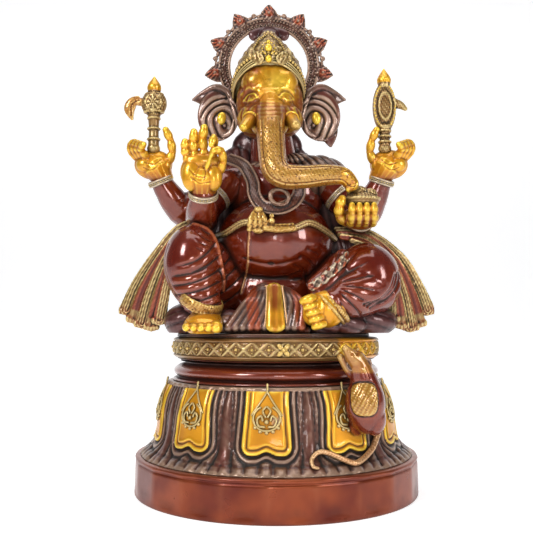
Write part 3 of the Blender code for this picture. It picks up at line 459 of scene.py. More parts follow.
class Skin:
    """A mesh whose points are moved and painted as arrays, in figure millimetres."""

    def __init__(self, mesh: bpy.types.Mesh, place: Place) -> None:
        """Reads the mesh.

        Args:
            mesh: The mesh that it stands for.
            place: The frame that its points are in.
        """
        self.mesh = mesh
        self.place = place
        count = len(mesh.vertices)
        coords = np.empty(count * 3)
        mesh.vertices.foreach_get("co", coords)
        self.points = place.own(coords.reshape(-1, 3))
        edges = np.empty(len(mesh.edges) * 2, int)
        mesh.edges.foreach_get("vertices", edges)
        self.edges = edges.reshape(-1, 2)
        self.gilt = np.zeros(count)
        self.worn = np.zeros(count)
        self.tint = np.zeros(count)

    @property
    def xyz(self) -> tuple[Array, Array, Array]:
        """The three columns of its points."""
        return self.points[:, 0], self.points[:, 1], self.points[:, 2]

    def averages(self, values: Array) -> Array:
        """The mean of each point's neighbours."""
        count = len(self.points)
        a, b = self.edges[:, 0], self.edges[:, 1]
        near = np.bincount(a, minlength=count) + np.bincount(b, minlength=count)
        total = np.stack(
            [
                np.bincount(a, weights=values[b, k], minlength=count)
                + np.bincount(b, weights=values[a, k], minlength=count)
                for k in range(values.shape[1])
            ],
            axis=1,
        )
        return total / np.maximum(near, 1)[:, None]

    def soften(self, rounds: int) -> None:
        """Smooths the points, without shrinking them much."""
        for _ in range(rounds):
            for share in (0.55, -0.52):
                self.points = self.points + share * (self.averages(self.points) - self.points)
        self.write()

    def write(self) -> None:
        """Writes the points back to the mesh."""
        self.mesh.vertices.foreach_set("co", self.place.row(self.points).ravel())
        self.mesh.update()

    def normals(self) -> Array:
        """The outward direction at each point."""
        self.write()
        found = np.empty(len(self.points) * 3)
        self.mesh.vertices.foreach_get("normal", found)
        return found.reshape(-1, 3)

    def push(self, offset: Array) -> None:
        """Moves each point outwards by its offset."""
        self.points = self.points + self.normals() * offset[:, None]

    def rest_on(self, level: float) -> None:
        """Flattens whatever would sink below a height."""
        self.points[:, 2] = np.maximum(self.points[:, 2], level)

    def front(self, low: float = 0.05, high: float = 0.45) -> Array:
        """The share to which each point faces the front."""
        return eased(-self.normals()[:, 1], low, high)

    def groove(
        self, line: Sequence[Point], width: float, depth: float, facing: Array | None = None
    ) -> Array:
        """Cuts a groove, or with a negative depth raises a cord, along a line seen from the front.

        Args:
            line: Its corners as (x, z).
            width: Half its width.
            depth: How deep it is.
            facing: How far it reaches at each point. The front, if left out.

        Returns:
            The groove's share at each point.
        """
        away, _ = line_distance(self.points[:, 0], self.points[:, 2], curve(line))
        mark = hump(away, width) * (self.front() if facing is None else facing)
        self.push(-depth * mark)
        return mark

    def relief(self) -> Array:
        """How far each point stands out: 0 in a crevice, 0.5 on the flat, 1 on a ridge."""
        normals = self.normals()
        reach = np.linalg.norm(
            self.points[self.edges[:, 0]] - self.points[self.edges[:, 1]], axis=1
        ).mean()
        near = self.averages(self.points)
        wide = near
        for _ in range(4):
            wide = self.averages(wide)
        fine = ((self.points - near) * normals).sum(1) / reach
        broad = ((self.points - wide) * normals).sum(1) / reach
        found = (0.5 + 1.1 * fine + 0.55 * broad)[:, None]
        return np.clip(self.averages(found)[:, 0] * 0.6 + found[:, 0] * 0.4, 0.0, 1.0)

    def finished(self) -> bpy.types.Mesh:
        """The mesh with its attributes: relief, gilt, wear with painted highlights, and tint."""
        for name in ("relief", "gilt", "worn", "tint"):
            values = self.relief() if name == "relief" else getattr(self, name)
            layer = self.mesh.attributes.new(name, "FLOAT", "POINT")
            layer.data.foreach_set("value", np.clip(values, 0.0, 1.0).astype(np.float32))
        return self.mesh


# ------------------------------------------------------------------ finishes


class Effects:
    """Shader node groups that several finishes share."""

    @staticmethod
    def group(
        name: str, inputs: Sequence[tuple[str, str, object]], outputs: Sequence[tuple[str, str]]
    ) -> tuple[bpy.types.NodeTree, bpy.types.Node, bpy.types.Node]:
        """An empty node group with its sockets.

        Args:
            name: The group's name.
            inputs: Name, socket type and default value of each input.
            outputs: Name and socket type of each output.

        Returns:
            The group, its input node and its output node.
        """
        tree = bpy.data.node_groups.new(name, "ShaderNodeTree")
        for label, kind, value in inputs:
            socket = tree.interface.new_socket(label, in_out="INPUT", socket_type=kind)
            if value is not None:
                socket.default_value = value
        for label, kind in outputs:
            tree.interface.new_socket(label, in_out="OUTPUT", socket_type=kind)
        return tree, tree.nodes.new("NodeGroupInput"), tree.nodes.new("NodeGroupOutput")

    @classmethod
    def patina(cls) -> bpy.types.NodeTree:
        """Lacquer over brass: dark patina in crevices plus painted shade where other parts come
        near, ridges rubbed bright plus wear and painted highlights from an attribute, mottled
        between.
        """
        found = bpy.data.node_groups.get("lacquer_patina")
        if found:
            return found
        color, number = "NodeSocketColor", "NodeSocketFloat"
        tree, given, out = cls.group(
            "lacquer_patina",
            [
                ("Lacquer", color, (0.2, 0.05, 0.03, 1)),
                ("Crevice", color, (0.01, 0.01, 0.008, 1)),
                ("Rubbed", color, (0.5, 0.3, 0.1, 1)),
                ("Second Tone", color, (0.2, 0.05, 0.03, 1)),
                ("Relief", number, 0.5),
                ("Shelter", number, 0.0),
                ("Worn", number, 0.0),
                ("Tint", number, 0.0),
                ("Grime", number, 0.8),
                ("Rub", number, 0.5),
                ("Mottle", number, 0.4),
                ("Scale", number, 60.0),
            ],
            [("Color", color), ("Crevice Mask", number), ("Rub Mask", number)],
        )
        net = Net(tree)
        spots = net.noise(given.outputs["Scale"], 4.0)
        drift = net.noise(18.0, 2.0)
        relief = net.math("ADD", given.outputs["Relief"], net.span(spots, 0.0, 1.0, -0.1, 0.1))
        low = net.span(relief, 0.47, 0.24, 0.0, 1.0)
        # The ambient occlusion from the material joins the crevice patina here: painted shade
        # between parts.
        hidden = net.math("MAXIMUM", low, given.outputs["Shelter"])
        patina_and_shade = net.math("MULTIPLY", hidden, given.outputs["Grime"], clamp=True)
        high = net.math("MULTIPLY", net.span(relief, 0.54, 0.8, 0.0, 1.0), given.outputs["Rub"])
        # The attribute adds wear, and the painted highlight on the forehead, to the rubbed ridges.
        rub = net.math("MAXIMUM", high, given.outputs["Worn"], clamp=True)
        tone = net.math("MULTIPLY", net.span(drift, 0.35, 0.65, 0.0, 1.0), given.outputs["Mottle"])
        tone = net.math("MAXIMUM", tone, given.outputs["Tint"], clamp=True)
        body = net.mix(tone, given.outputs["Lacquer"], given.outputs["Second Tone"])
        worn = net.mix(rub, body, given.outputs["Rubbed"])
        net.link(net.mix(patina_and_shade, worn, given.outputs["Crevice"]), out.inputs["Color"])
        net.link(patina_and_shade, out.inputs["Crevice Mask"])
        net.link(rub, out.inputs["Rub Mask"])
        return tree

    @classmethod
    def grain(cls) -> bpy.types.NodeTree:
        """The fine skin of a sand casting, with optional punched dots, as a height."""
        found = bpy.data.node_groups.get("casting_grain")
        if found:
            return found
        number = "NodeSocketFloat"
        tree, given, out = cls.group(
            "casting_grain",
            [("Scale", number, 500.0), ("Dot Scale", number, 300.0), ("Dots", number, 0.0)],
            [("Height", number), ("Dot Mask", number)],
        )
        net = Net(tree)
        fine = net.noise(given.outputs["Scale"], 3.0)
        cells = net.cells(given.outputs["Dot Scale"])
        dots = net.span(cells, 0.42, 0.18, 0.0, 1.0)
        punched = net.math("MULTIPLY", dots, given.outputs["Dots"])
        net.link(net.math("ADD", fine, net.math("MULTIPLY", punched, 3.0)), out.inputs["Height"])
        net.link(punched, out.inputs["Dot Mask"])
        return tree


class Net:
    """Short hands for wiring one node tree."""

    def __init__(self, tree: bpy.types.NodeTree) -> None:
        """Works in the given tree."""
        self.tree = tree

    def link(self, start: object, end: bpy.types.NodeSocket) -> None:
        """Joins an output, or sets a value, to an input."""
        if isinstance(start, bpy.types.NodeSocket):
            self.tree.links.new(start, end)
        else:
            end.default_value = start

    def math(self, kind: str, first: object, second: object, clamp: bool = False) -> Socket:
        """The output of a Math node."""
        node = self.tree.nodes.new("ShaderNodeMath")
        node.operation, node.use_clamp = kind, clamp
        self.link(first, node.inputs[0])
        self.link(second, node.inputs[1])
        return node.outputs[0]

    def span(self, value: object, low: float, high: float, first: float, last: float) -> Socket:
        """The output of a clamped Map Range node."""
        node = self.tree.nodes.new("ShaderNodeMapRange")
        for socket, given in zip(node.inputs, (value, low, high, first, last)):
            self.link(given, socket)
        return node.outputs[0]

    def mix(self, share: object, first: object, second: object) -> Socket:
        """The output of a colour Mix node."""
        node = self.tree.nodes.new("ShaderNodeMix")
        node.data_type = "RGBA"
        self.link(share, node.inputs[0])
        self.link(first, node.inputs[6])
        self.link(second, node.inputs[7])
        return node.outputs[2]

    def position(self) -> Socket:
        """The Object coordinates."""
        return self.tree.nodes.new("ShaderNodeTexCoord").outputs["Object"]

    def noise(self, scale: object, detail: float) -> Socket:
        """The height of a Noise texture on Object coordinates."""
        node = self.tree.nodes.new("ShaderNodeTexNoise")
        self.link(self.position(), node.inputs["Vector"])
        self.link(scale, node.inputs["Scale"])
        node.inputs["Detail"].default_value = detail
        return node.outputs[0]

    def cells(self, scale: object) -> Socket:
        """The distance to the nearest spot of a Voronoi texture on Object coordinates."""
        node = self.tree.nodes.new("ShaderNodeTexVoronoi")
        self.link(self.position(), node.inputs["Vector"])
        self.link(scale, node.inputs["Scale"])
        return node.outputs["Distance"]

    def attribute(self, name: str) -> Socket:
        """The value of a mesh attribute."""
        node = self.tree.nodes.new("ShaderNodeAttribute")
        node.attribute_name = name
        return node.outputs["Fac"]

    def place_group(
        self, group: bpy.types.NodeTree, values: dict[str, object]
    ) -> bpy.types.Node:
        """A group node with its inputs set or joined."""
        node = self.tree.nodes.new("ShaderNodeGroup")
        node.node_tree = group
        for label, value in values.items():
            self.link(value, node.inputs[label])
        return node


@dataclass(frozen=True)
class Tone:
    """The colours of one lacquer."""

    lacquer: Point
    second: Point
    # Colour of rubbed ridges, also of painted highlights.
    rubbed: Point
    # Colour of the crevice patina, also of the painted shade where other parts come near.
    crevice: Point


@dataclass(frozen=True)
class CastFinish:
    """A lacquered casting: a field tone and a trim tone, chosen by the gilt attribute."""

    name: str
    field_tone: Tone
    trim_tone: Tone
    roughness: float = 0.28
    metallic: float = 0.75
    coat: float = 0.35
    # How dark the crevice patina and the painted shade between parts get.
    patina_and_shade: float = 0.85
    rub: float = 0.4
    mottle: float = 0.45
    grain_depth: float = 0.12
    dots: float = 0.0
    dot_scale: float = 330.0
    # Reach of the ambient occlusion that paints shade between parts, in millimetres.
    occlusion_shade_mm: float = 15.0

    def tone_node(
        self, net: Net, tone: Tone, relief: object, occlusion_shade: object
    ) -> bpy.types.Node:
        """One tone's patina group, wired to the shared masks."""
        return net.place_group(
            Effects.patina(),
            {
                "Lacquer": (*tone.lacquer, 1),
                "Crevice": (*tone.crevice, 1),
                "Rubbed": (*tone.rubbed, 1),
                "Second Tone": (*tone.second, 1),
                "Relief": relief,
                "Shelter": occlusion_shade,
                "Worn": net.attribute("worn"),
                "Tint": net.attribute("tint"),
                "Grime": self.patina_and_shade,
                "Rub": self.rub,
                "Mottle": self.mottle,
            },
        )

    def material(self) -> bpy.types.Material:
        """The material, made once."""
        found = bpy.data.materials.get(self.name + "_finish")
        if found:
            return found
        made = bpy.data.materials.new(self.name + "_finish")
        made.use_nodes = True
        tree = made.node_tree
        net = Net(tree)
        shader = tree.nodes["Principled BSDF"]
        # Ambient occlusion darkens the colour where other parts come near: painted shade.
        closeness = tree.nodes.new("ShaderNodeAmbientOcclusion")
        closeness.samples = 6
        closeness.inputs["Distance"].default_value = self.occlusion_shade_mm * MM
        occlusion_shade = net.span(closeness.outputs["AO"], 0.8, 0.3, 0.0, 0.95)
        relief = net.attribute("relief")
        grain = net.place_group(
            Effects.grain(), {"Dots": self.dots, "Dot Scale": self.dot_scale}
        )
        raised = net.math("ADD", relief, net.span(grain.outputs["Dot Mask"], 0.0, 1.0, 0.0, -0.3))
        field_node = self.tone_node(net, self.field_tone, raised, occlusion_shade)
        trim_node = self.tone_node(net, self.trim_tone, raised, occlusion_shade)
        gilt = net.span(net.attribute("gilt"), 0.35, 0.65, 0.0, 1.0)
        color = net.mix(gilt, field_node.outputs["Color"], trim_node.outputs["Color"])
        net.link(color, shader.inputs["Base Color"])
        dull = net.span(field_node.outputs["Crevice Mask"], 0.0, 1.0, self.roughness, 0.7)
        patchy = net.span(net.noise(40.0, 3.0), 0.3, 0.7, -0.04, 0.07)
        net.link(net.math("ADD", dull, patchy, clamp=True), shader.inputs["Roughness"])
        shader.inputs["Metallic"].default_value = self.metallic
        mask = field_node.outputs["Crevice Mask"]
        net.link(net.span(mask, 0.2, 0.8, self.coat, 0.1), shader.inputs["Coat Weight"])
        shader.inputs["Coat Roughness"].default_value = 0.06
        bump = tree.nodes.new("ShaderNodeBump")
        bump.inputs["Strength"].default_value = self.grain_depth
        bump.inputs["Distance"].default_value = 0.0006
        net.link(grain.outputs["Height"], bump.inputs["Height"])
        net.link(bump.outputs[0], shader.inputs["Normal"])
        return made


RED_TONE = Tone(
    (0.13, 0.009, 0.0015), (0.25, 0.035, 0.005), (0.50, 0.13, 0.05), (0.006, 0.007, 0.004)
)
PLINTH_TONE = Tone(
    (0.13, 0.012, 0.002), (0.27, 0.048, 0.010), (0.48, 0.15, 0.06), (0.010, 0.006, 0.004)
)
BROWN_TONE = Tone(
    (0.080, 0.034, 0.020), (0.13, 0.030, 0.018), (0.42, 0.27, 0.18), (0.006, 0.007, 0.005)
)
EAR_TONE = Tone((0.20, 0.085, 0.060), (0.22, 0.12, 0.06), (0.80, 0.57, 0.45), (0.012, 0.009, 0.007))
# Its rubbed colour also paints the highlight on the forehead.
GOLD_TONE = Tone((0.80, 0.34, 0.006), (0.30, 0.066, 0.004), (1.0, 0.74, 0.07), (0.05, 0.020, 0.002))
BRASS_TONE = Tone(
    (0.27, 0.16, 0.045), (0.27, 0.09, 0.025), (0.72, 0.55, 0.23), (0.012, 0.011, 0.004)
)
TRUNK_TONE = Tone((0.46, 0.22, 0.028), (0.36, 0.12, 0.012), (0.86, 0.64, 0.20), (0.05, 0.02, 0.004))
PALE_TONE = Tone((0.26, 0.17, 0.11), (0.30, 0.18, 0.12), (0.66, 0.54, 0.38), (0.03, 0.02, 0.012))
COPPER_TONE = Tone((0.42, 0.15, 0.04), (0.5, 0.22, 0.06), (0.85, 0.55, 0.28), (0.03, 0.012, 0.006))
MAROON_TONE = Tone(
    (0.04, 0.006, 0.006), (0.06, 0.010, 0.008), (0.22, 0.09, 0.08), (0.004, 0.003, 0.003)
)
STEEL_TONE = Tone((0.42, 0.42, 0.43), (0.36, 0.35, 0.35), (0.6, 0.6, 0.6), (0.08, 0.06, 0.05))


class Finish(Enum):
    """The finishes of this idol."""

    RED = CastFinish(
        "red_lacquer", RED_TONE, COPPER_TONE, roughness=0.2, metallic=0.3, coat=0.8, rub=0.25
    )
    PLINTH = CastFinish(
        "plinth_lacquer", PLINTH_TONE, BRASS_TONE, roughness=0.3, metallic=0.55, coat=0.15,
        mottle=0.9, patina_and_shade=0.5, rub=0.3,
    )
    BROWN = CastFinish("brown_patina", BROWN_TONE, GOLD_TONE, roughness=0.36, metallic=0.4, rub=0.7)
    HALO = CastFinish("halo_patina", BROWN_TONE, RED_TONE, roughness=0.34, metallic=0.4, rub=0.75)
    EAR = CastFinish(
        "ear_patina", EAR_TONE, BROWN_TONE, roughness=0.28, metallic=0.35, rub=0.45, coat=0.6
    )
    GOLD = CastFinish(
        "gold_lacquer", GOLD_TONE, TRUNK_TONE, roughness=0.3, metallic=0.5, coat=0.4, rub=0.7,
        patina_and_shade=0.55,
    )
    BRASS = CastFinish(
        "antique_brass", BRASS_TONE, GOLD_TONE, roughness=0.34, metallic=0.55, rub=0.75
    )
    TRUNK = CastFinish(
        "trunk_gold", TRUNK_TONE, GOLD_TONE, roughness=0.28, metallic=0.45, rub=0.6, dots=1.0,
        dot_scale=260.0, grain_depth=0.4, coat=0.6,
    )
    RIBBON = CastFinish("ribbon_brass", BRASS_TONE, RED_TONE, roughness=0.3, metallic=0.5, rub=0.8)
    PALE = CastFinish("pale_edging", PALE_TONE, BRASS_TONE, roughness=0.3, metallic=0.45, rub=0.8)
    COPPER = CastFinish(
        "copper_cord", COPPER_TONE, BRASS_TONE, roughness=0.28, metallic=0.5, rub=0.8
    )
    MAROON = CastFinish(
        "maroon_lacquer", MAROON_TONE, BRASS_TONE, roughness=0.3, metallic=0.3, rub=0.5, coat=0.25
    )
    HEM = CastFinish(
        "hem_cloth", PALE_TONE, RED_TONE, roughness=0.3, metallic=0.4, rub=0.9, coat=0.6
    )
    FOLDS = CastFinish(
        "front_cloth", BROWN_TONE, RED_TONE, roughness=0.3, metallic=0.3, rub=0.6, coat=0.6
    )
    MOUSE = CastFinish(
        "mouse_lacquer", RED_TONE, TRUNK_TONE, roughness=0.24, metallic=0.35, coat=0.8
    )


@dataclass(frozen=True)
class SteelFinish:
    """Machined steel with a faint brushed grain and dull spots."""

    name: str = "machined_steel"
    grain_scale: float = 900.0

    def material(self) -> bpy.types.Material:
        """The material."""
        made = bpy.data.materials.new(self.name)
        made.use_nodes = True
        net = Net(made.node_tree)
        shader = made.node_tree.nodes["Principled BSDF"]
        spots = net.noise(70.0, 4.0)
        net.link(net.mix(spots, (*STEEL_TONE.lacquer, 1), (*STEEL_TONE.second, 1)),
                 shader.inputs["Base Color"])
        net.link(net.span(spots, 0.3, 0.7, 0.34, 0.55), shader.inputs["Roughness"])
        shader.inputs["Metallic"].default_value = 1.0
        bump = made.node_tree.nodes.new("ShaderNodeBump")
        bump.inputs["Strength"].default_value = 0.15
        bump.inputs["Distance"].default_value = 0.0003
        net.link(net.noise(self.grain_scale, 2.0), bump.inputs["Height"])
        net.link(bump.outputs[0], shader.inputs["Normal"])
        return made


class Bench:
    """Where finished pieces are put on show."""

    def __init__(self, place: Place) -> None:
        """Works in the given frame."""
        self.place = place
        low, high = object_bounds()
        self.low, self.high = np.array(low), np.array(high)

    def clay(self) -> Clay:
        """Fresh clay in this frame."""
        return Clay(self.place)

    def show(
        self,
        skin: Skin,
        name: str,
        finish: Finish,
        slot: Slot,
        nodes: Iterable[str] = (),
        sharp: float = 180.0,
    ) -> bpy.types.Object:
        """Makes a piece of a skin and puts it on the frame.

        Args:
            skin: Its shape.
            name: The piece's name.
            finish: Its finish.
            slot: Not used.
            nodes: The CAD nodes that it stands for.
            sharp: Edges bent by more degrees than this stay sharp.

        Returns:
            The object.
        """
        skin.points = skin.place.own(np.clip(skin.place.row(skin.points), self.low, self.high))
        mesh = skin.finished()
        mesh.name = name
        mesh.shade_smooth()
        if sharp < 180.0:
            mesh.set_sharp_from_angle(angle=math.radians(sharp))
        obj = bpy.data.objects.new(name, mesh)
        bpy.context.scene.collection.objects.link(obj)
        mesh.materials.append(finish.value.material())
        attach(obj, BODY)
        for node in nodes:
            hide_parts(node)
        LOG.info("%s: %d faces", name, len(mesh.polygons))
        return obj


# ------------------------------------------------------------------ pedestal


@dataclass
class Pedestal:
    """The turned foot: plinth, lotus skirt, waist and seat drum."""

    bench: Bench
    petals: int = 10
    petal_turn: float = -4.6
    panel_bottom: float = 77.0
    panel_half: float = 27.0
    steps: int = 560
    diamonds: int = 43

    def lathe(self, profile: Sequence[Point], name: str, steps: int) -> Skin:
        """Spins a closed profile about the pedestal's axis.

        Args:
            profile: (radius, height above the floor) in millimetres, closed on itself.
            name: The mesh's name.
            steps: Faces round it.

        Returns:
            The skin.
        """
        bm = bmesh.new()
        verts = [bm.verts.new((r * MM, 0, z * MM)) for r, z in profile]
        edges = [bm.edges.new(pair) for pair in zip(verts, verts[1:] + verts[:1])]
        bmesh.ops.spin(
            bm,
            geom=[*verts, *edges],
            cent=(0, 0, 0),
            axis=(0, 0, 1),
            angle=2 * math.pi,
            steps=steps,
            use_merge=True,
        )
        return Skin(mesh_from(bm, name), ON_FLOOR)

    @staticmethod
    def polar(skin: Skin) -> tuple[Array, Array, Array]:
        """Degrees from the front, radius and height of each point."""
        x, y, z = skin.xyz
        return np.degrees(np.arctan2(x, -y)), np.hypot(x, y), z

    @staticmethod
    def swell(skin: Skin, offset: Array) -> None:
        """Moves each point away from the axis by its offset."""
        x, y, _ = skin.xyz
        radius = np.maximum(np.hypot(x, y), 1e-6)
        skin.points = skin.points + np.stack(
            [x / radius, y / radius, 0 * x], axis=1
        ) * offset[:, None]

    @staticmethod
    def wall(outer: Sequence[Point], thick: float, foot: float, ledge: float) -> list[list[float]]:
        """A closed profile: the outer line, and back down inside it with a ledge at each end."""
        low, high = outer[0], outer[-1]
        inner = [[r - thick, z] for r, z in reversed(outer) if low[1] + thick < z < high[1] - thick]
        head = [[high[0] - ledge, high[1]], [high[0] - ledge, high[1] - thick]]
        shoulder = [[high[0] - thick, high[1] - thick]] if ledge > thick else []
        corner = [[low[0] - thick, low[1] + thick]] if foot > thick else []
        tail = [[low[0] - foot, low[1] + thick], [low[0] - foot, low[1]]]
        return [*map(list, outer), *head, *shoulder, *inner, *corner, *tail]

    def build(self) -> None:
        """Builds and shows all four rings."""
        self.build_plinth()
        self.build_skirt()
        self.build_pendants()
        self.build_waist()
        self.build_drum()

    def build_plinth(self) -> None:
        """The plain lacquered band at the floor."""
        _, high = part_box("plinth")
        radius, top = high.y / MM, high.z / MM
        shape = [
            (-3.0, 0.0), (-0.6, 0.6), (-0.1, 2.6), (0.0, 6.0), (0.0, 22.0), (-0.3, 38.0),
            (-0.6, 45.0), (-1.6, 46.6), (-1.6, 48.0), (-0.5, 49.4), (-0.5, 51.4), (-1.8, 53.3),
            (-4.0, top),
        ]
        outer = [(radius + r, z) for r, z in curve(shape, 2)]
        skin = self.lathe(self.wall(outer, 4.0, 18.0, 28.0), "plinth", 220)
        angle, _, z = self.polar(skin)
        turn = np.radians(angle)
        soft = eased(z, 1.0, 12.0) * eased(z, top, top - 8.0)
        half = math.pi / 22
        facet = np.cos(half) / np.cos(np.mod(turn + 0.06, 2 * half) - half) - 1.0
        self.swell(skin, soft * (0.9 * radius * facet - 0.2 * (1 + np.sin(5 * turn))))
        self.bench.show(skin, "plinth_band", Finish.PLINTH, Slot.RED, ["plinth"], sharp=55)

    def skirt_radius(self, z: Array) -> Array:
        """The bell's radius at a height above the floor."""
        low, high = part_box("lotus_skirt")
        bottom, top = low.z / MM, high.z / MM
        hem, neck = high.y / MM - 0.5, 157.0
        shares = [0, 0.05, 0.11, 0.2, 0.3, 0.45, 0.62, 0.8, 0.92, 1.0]
        flare = [0.97, 0.9, 0.66, 0.5, 0.42, 0.37, 0.33, 0.23, 0.1, 0.0]
        fine = np.linspace(0, 1, 60)
        rough = np.interp(fine, shares, flare)
        smooth = np.convolve(np.pad(rough, 3, mode="edge"), np.ones(7) / 7, mode="valid")
        return neck + (hem - neck) * np.interp((z - bottom) / (top - bottom), fine, smooth)

    def panel_distance(self, across: Array, z: Array) -> Array:
        """Distance outside a petal's panel, negative inside it.

        Args:
            across: Distance from the petal's middle line.
            z: Height above the floor.

        Returns:
            The signed distance.
        """
        half = self.panel_half + 4.5 * eased(z, 150.0, self.panel_bottom)
        bottom = self.panel_bottom + 5.0 * hump(across, 9.0)
        corner = 11.0
        side = np.abs(across) - (half - corner)
        under = (bottom + corner) - z
        outside = np.hypot(np.maximum(side, 0.0), np.maximum(under, 0.0))
        return outside + np.minimum(np.maximum(side, under), 0.0) - corner

    def across(self, angle: Array, radius: Array) -> Array:
        """Distance along the bell from the middle line of the nearest petal."""
        pitch = 360.0 / self.petals
        away = (angle - self.petal_turn + pitch / 2) % pitch - pitch / 2
        return np.radians(away) * radius

    def build_skirt(self) -> None:
        """The bell with its gilt petal panels, frames, pleats and ruffled hem."""
        low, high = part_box("lotus_skirt")
        bottom, top = low.z / MM, high.z / MM
        rows = np.linspace(bottom, top, 62)
        outer = [(float(self.skirt_radius(np.array(z))), float(z)) for z in rows]
        skin = self.lathe(self.wall(outer, 7.0, 30.0, 26.0), "lotus_skirt", self.steps)
        angle, radius, z = self.polar(skin)
        outside = eased(radius - self.skirt_radius(z), -5.5, -2.5)
        s = self.across(angle, np.maximum(radius, 150.0))
        d = self.panel_distance(s, z)
        half_pitch = math.pi * 174.0 / self.petals
        panel = eased(d, 1.4, -0.6)
        lift = 1.6 * panel + 1.5 * panel * (1 - (s / 34.0) ** 2)
        lift += 1.6 * hump(d + 1.2, 1.8) - 1.7 * hump(d + 6.0, 1.3) + 0.9 * hump(d + 8.6, 1.5)
        lift -= 2.6 * hump(d - 2.6, 1.3)
        lift += 2.0 * hump(d - 6.4, 2.4) - 1.9 * hump(d - 10.6, 1.5)
        between = eased(d, 10.0, 13.0)
        flare = 0.75 + 0.7 * eased(z, 105.0, 62.0)
        rib = (np.abs(s) - half_pitch) / 9.0
        pleat = np.abs(np.cos(math.pi * rib / 2.0)) ** 0.7
        lift += between * flare * (3.0 * pleat - 1.5)
        lift += 0.5 * between * waves(*skin.xyz, 3.0) * (np.cos(math.pi * rib / 2.0) < 0.2)
        hem = eased(z, bottom + 13.0, bottom + 3.0)
        ruffle = np.sin(np.radians(angle) * 47) * 0.6 + np.sin(np.radians(angle) * 21 + 1.3) * 0.5
        lift += hem * ruffle * 1.1 - 1.6 * hump(z - (bottom + 10.5), 1.6) * (1 - panel)
        cornice = eased(z, top - 5.0, top - 3.0)
        lift = lift * (1 - cornice) + cornice * (1.6 + 0.7 * np.sin(np.radians(angle) * 60))
        rough = waves(*skin.xyz, 7.0) * 0.28 * (1 - panel)
        fade = eased(z, bottom, bottom + 2.5)
        limit = (high.y / MM - 0.3) - radius
        self.swell(skin, np.minimum(outside * fade * (lift + rough - 2.0), limit))
        skin.gilt = panel * outside * (1 - cornice)
        skin.tint = 0.9 * between * hump(np.abs(s) - half_pitch, 6.0)
        self.bench.show(skin, "lotus_bell", Finish.BROWN, Slot.BROWN, ["lotus_skirt"])

    def on_bell(
        self, middle: float, across: float, z: float, proud: float
    ) -> tuple[float, float, float]:
        """A point proud of the bell at a distance from a petal's middle line."""
        radius = float(self.skirt_radius(np.array(z))) + proud
        angle = math.radians(middle) + across / radius
        return radius * math.sin(angle), -radius * math.cos(angle), z

    def build_pendants(self) -> None:
        """The hanging floret in low relief on every petal."""
        clay = Clay(ON_FLOOR)
        for k in range(self.petals):
            middle = self.petal_turn + 360.0 / self.petals * k

            def spot(u: float, v: float, proud: float) -> tuple[float, float, float]:
                return self.on_bell(middle, u, 121.0 + v, proud)

            for side in (-1, 1):
                chain = [(0, 33), (7 * side, 22), (14 * side, 12), (19 * side, 5)]
                clay.rod([spot(u, v, 2.0) for u, v in chain], [1.3] * 4, sides=6, per_span=3)
                scroll = [
                    (3 * side, -9), (10 * side, -8), (12 * side, 0), (7 * side, 4), (5 * side, -1)
                ]
                clay.rod([spot(u, v, 3.0) for u, v in scroll], [1.5] * 5, sides=6, per_span=3)
                leaf = [(1.5 * side, 3), (5 * side, 10), (1 * side, 15)]
                clay.rod([spot(u, v, 3.0) for u, v in leaf], [1.3] * 3, sides=6, per_span=3)
            clay.rod([spot(0, 42, 2.0), spot(0, 32, 2.0)], [1.6, 1.6], sides=6, per_span=2)
            ring = [spot(17 * math.sin(a), 1 + 15 * math.cos(a), 2.0)
                    for a in np.linspace(0.5, 2 * math.pi - 0.5, 26)]
            clay.rod(ring, [1.5] * 26, sides=6, per_span=1)
            for step in range(5):
                lean = math.radians(130 + 25 * step)
                clay.bead(spot(19 * math.sin(lean), 1 + 17.5 * math.cos(lean), 1.6), 2.7)
            clay.bead(spot(0, -3, 3.2), 3.2)
        skin = clay.plain("pendants")
        self.bench.show(skin, "petal_pendants", Finish.BRASS, Slot.GOLD)

    def build_waist(self) -> None:
        """The glossy roll and hollow between the bell and the drum."""
        low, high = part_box("waist_ring")
        base, top = low.z / MM, high.z / MM
        shape = [
            (150.0, 0.0), (151.6, 0.8), (151.8, 2.6), (150.0, 3.8), (145.0, 4.4), (143.5, 5.4),
            (145.5, 7.2), (149.0, 9.8), (150.4, 13.0), (149.6, 16.6), (146.6, 20.0), (141.0, 22.8),
            (135.5, 24.2), (134.0, 26.4), (136.0, 29.0), (141.0, 30.6), (145.0, 31.2),
            (145.0, top - base),
        ]
        outer = [(r, base + z) for r, z in curve(shape, 2)]
        skin = self.lathe(self.wall(outer, 4.0, 26.0, 26.0), "waist", 200)
        self.bench.show(skin, "waist_roll", Finish.RED, Slot.RED, ["waist_ring"], sharp=60)

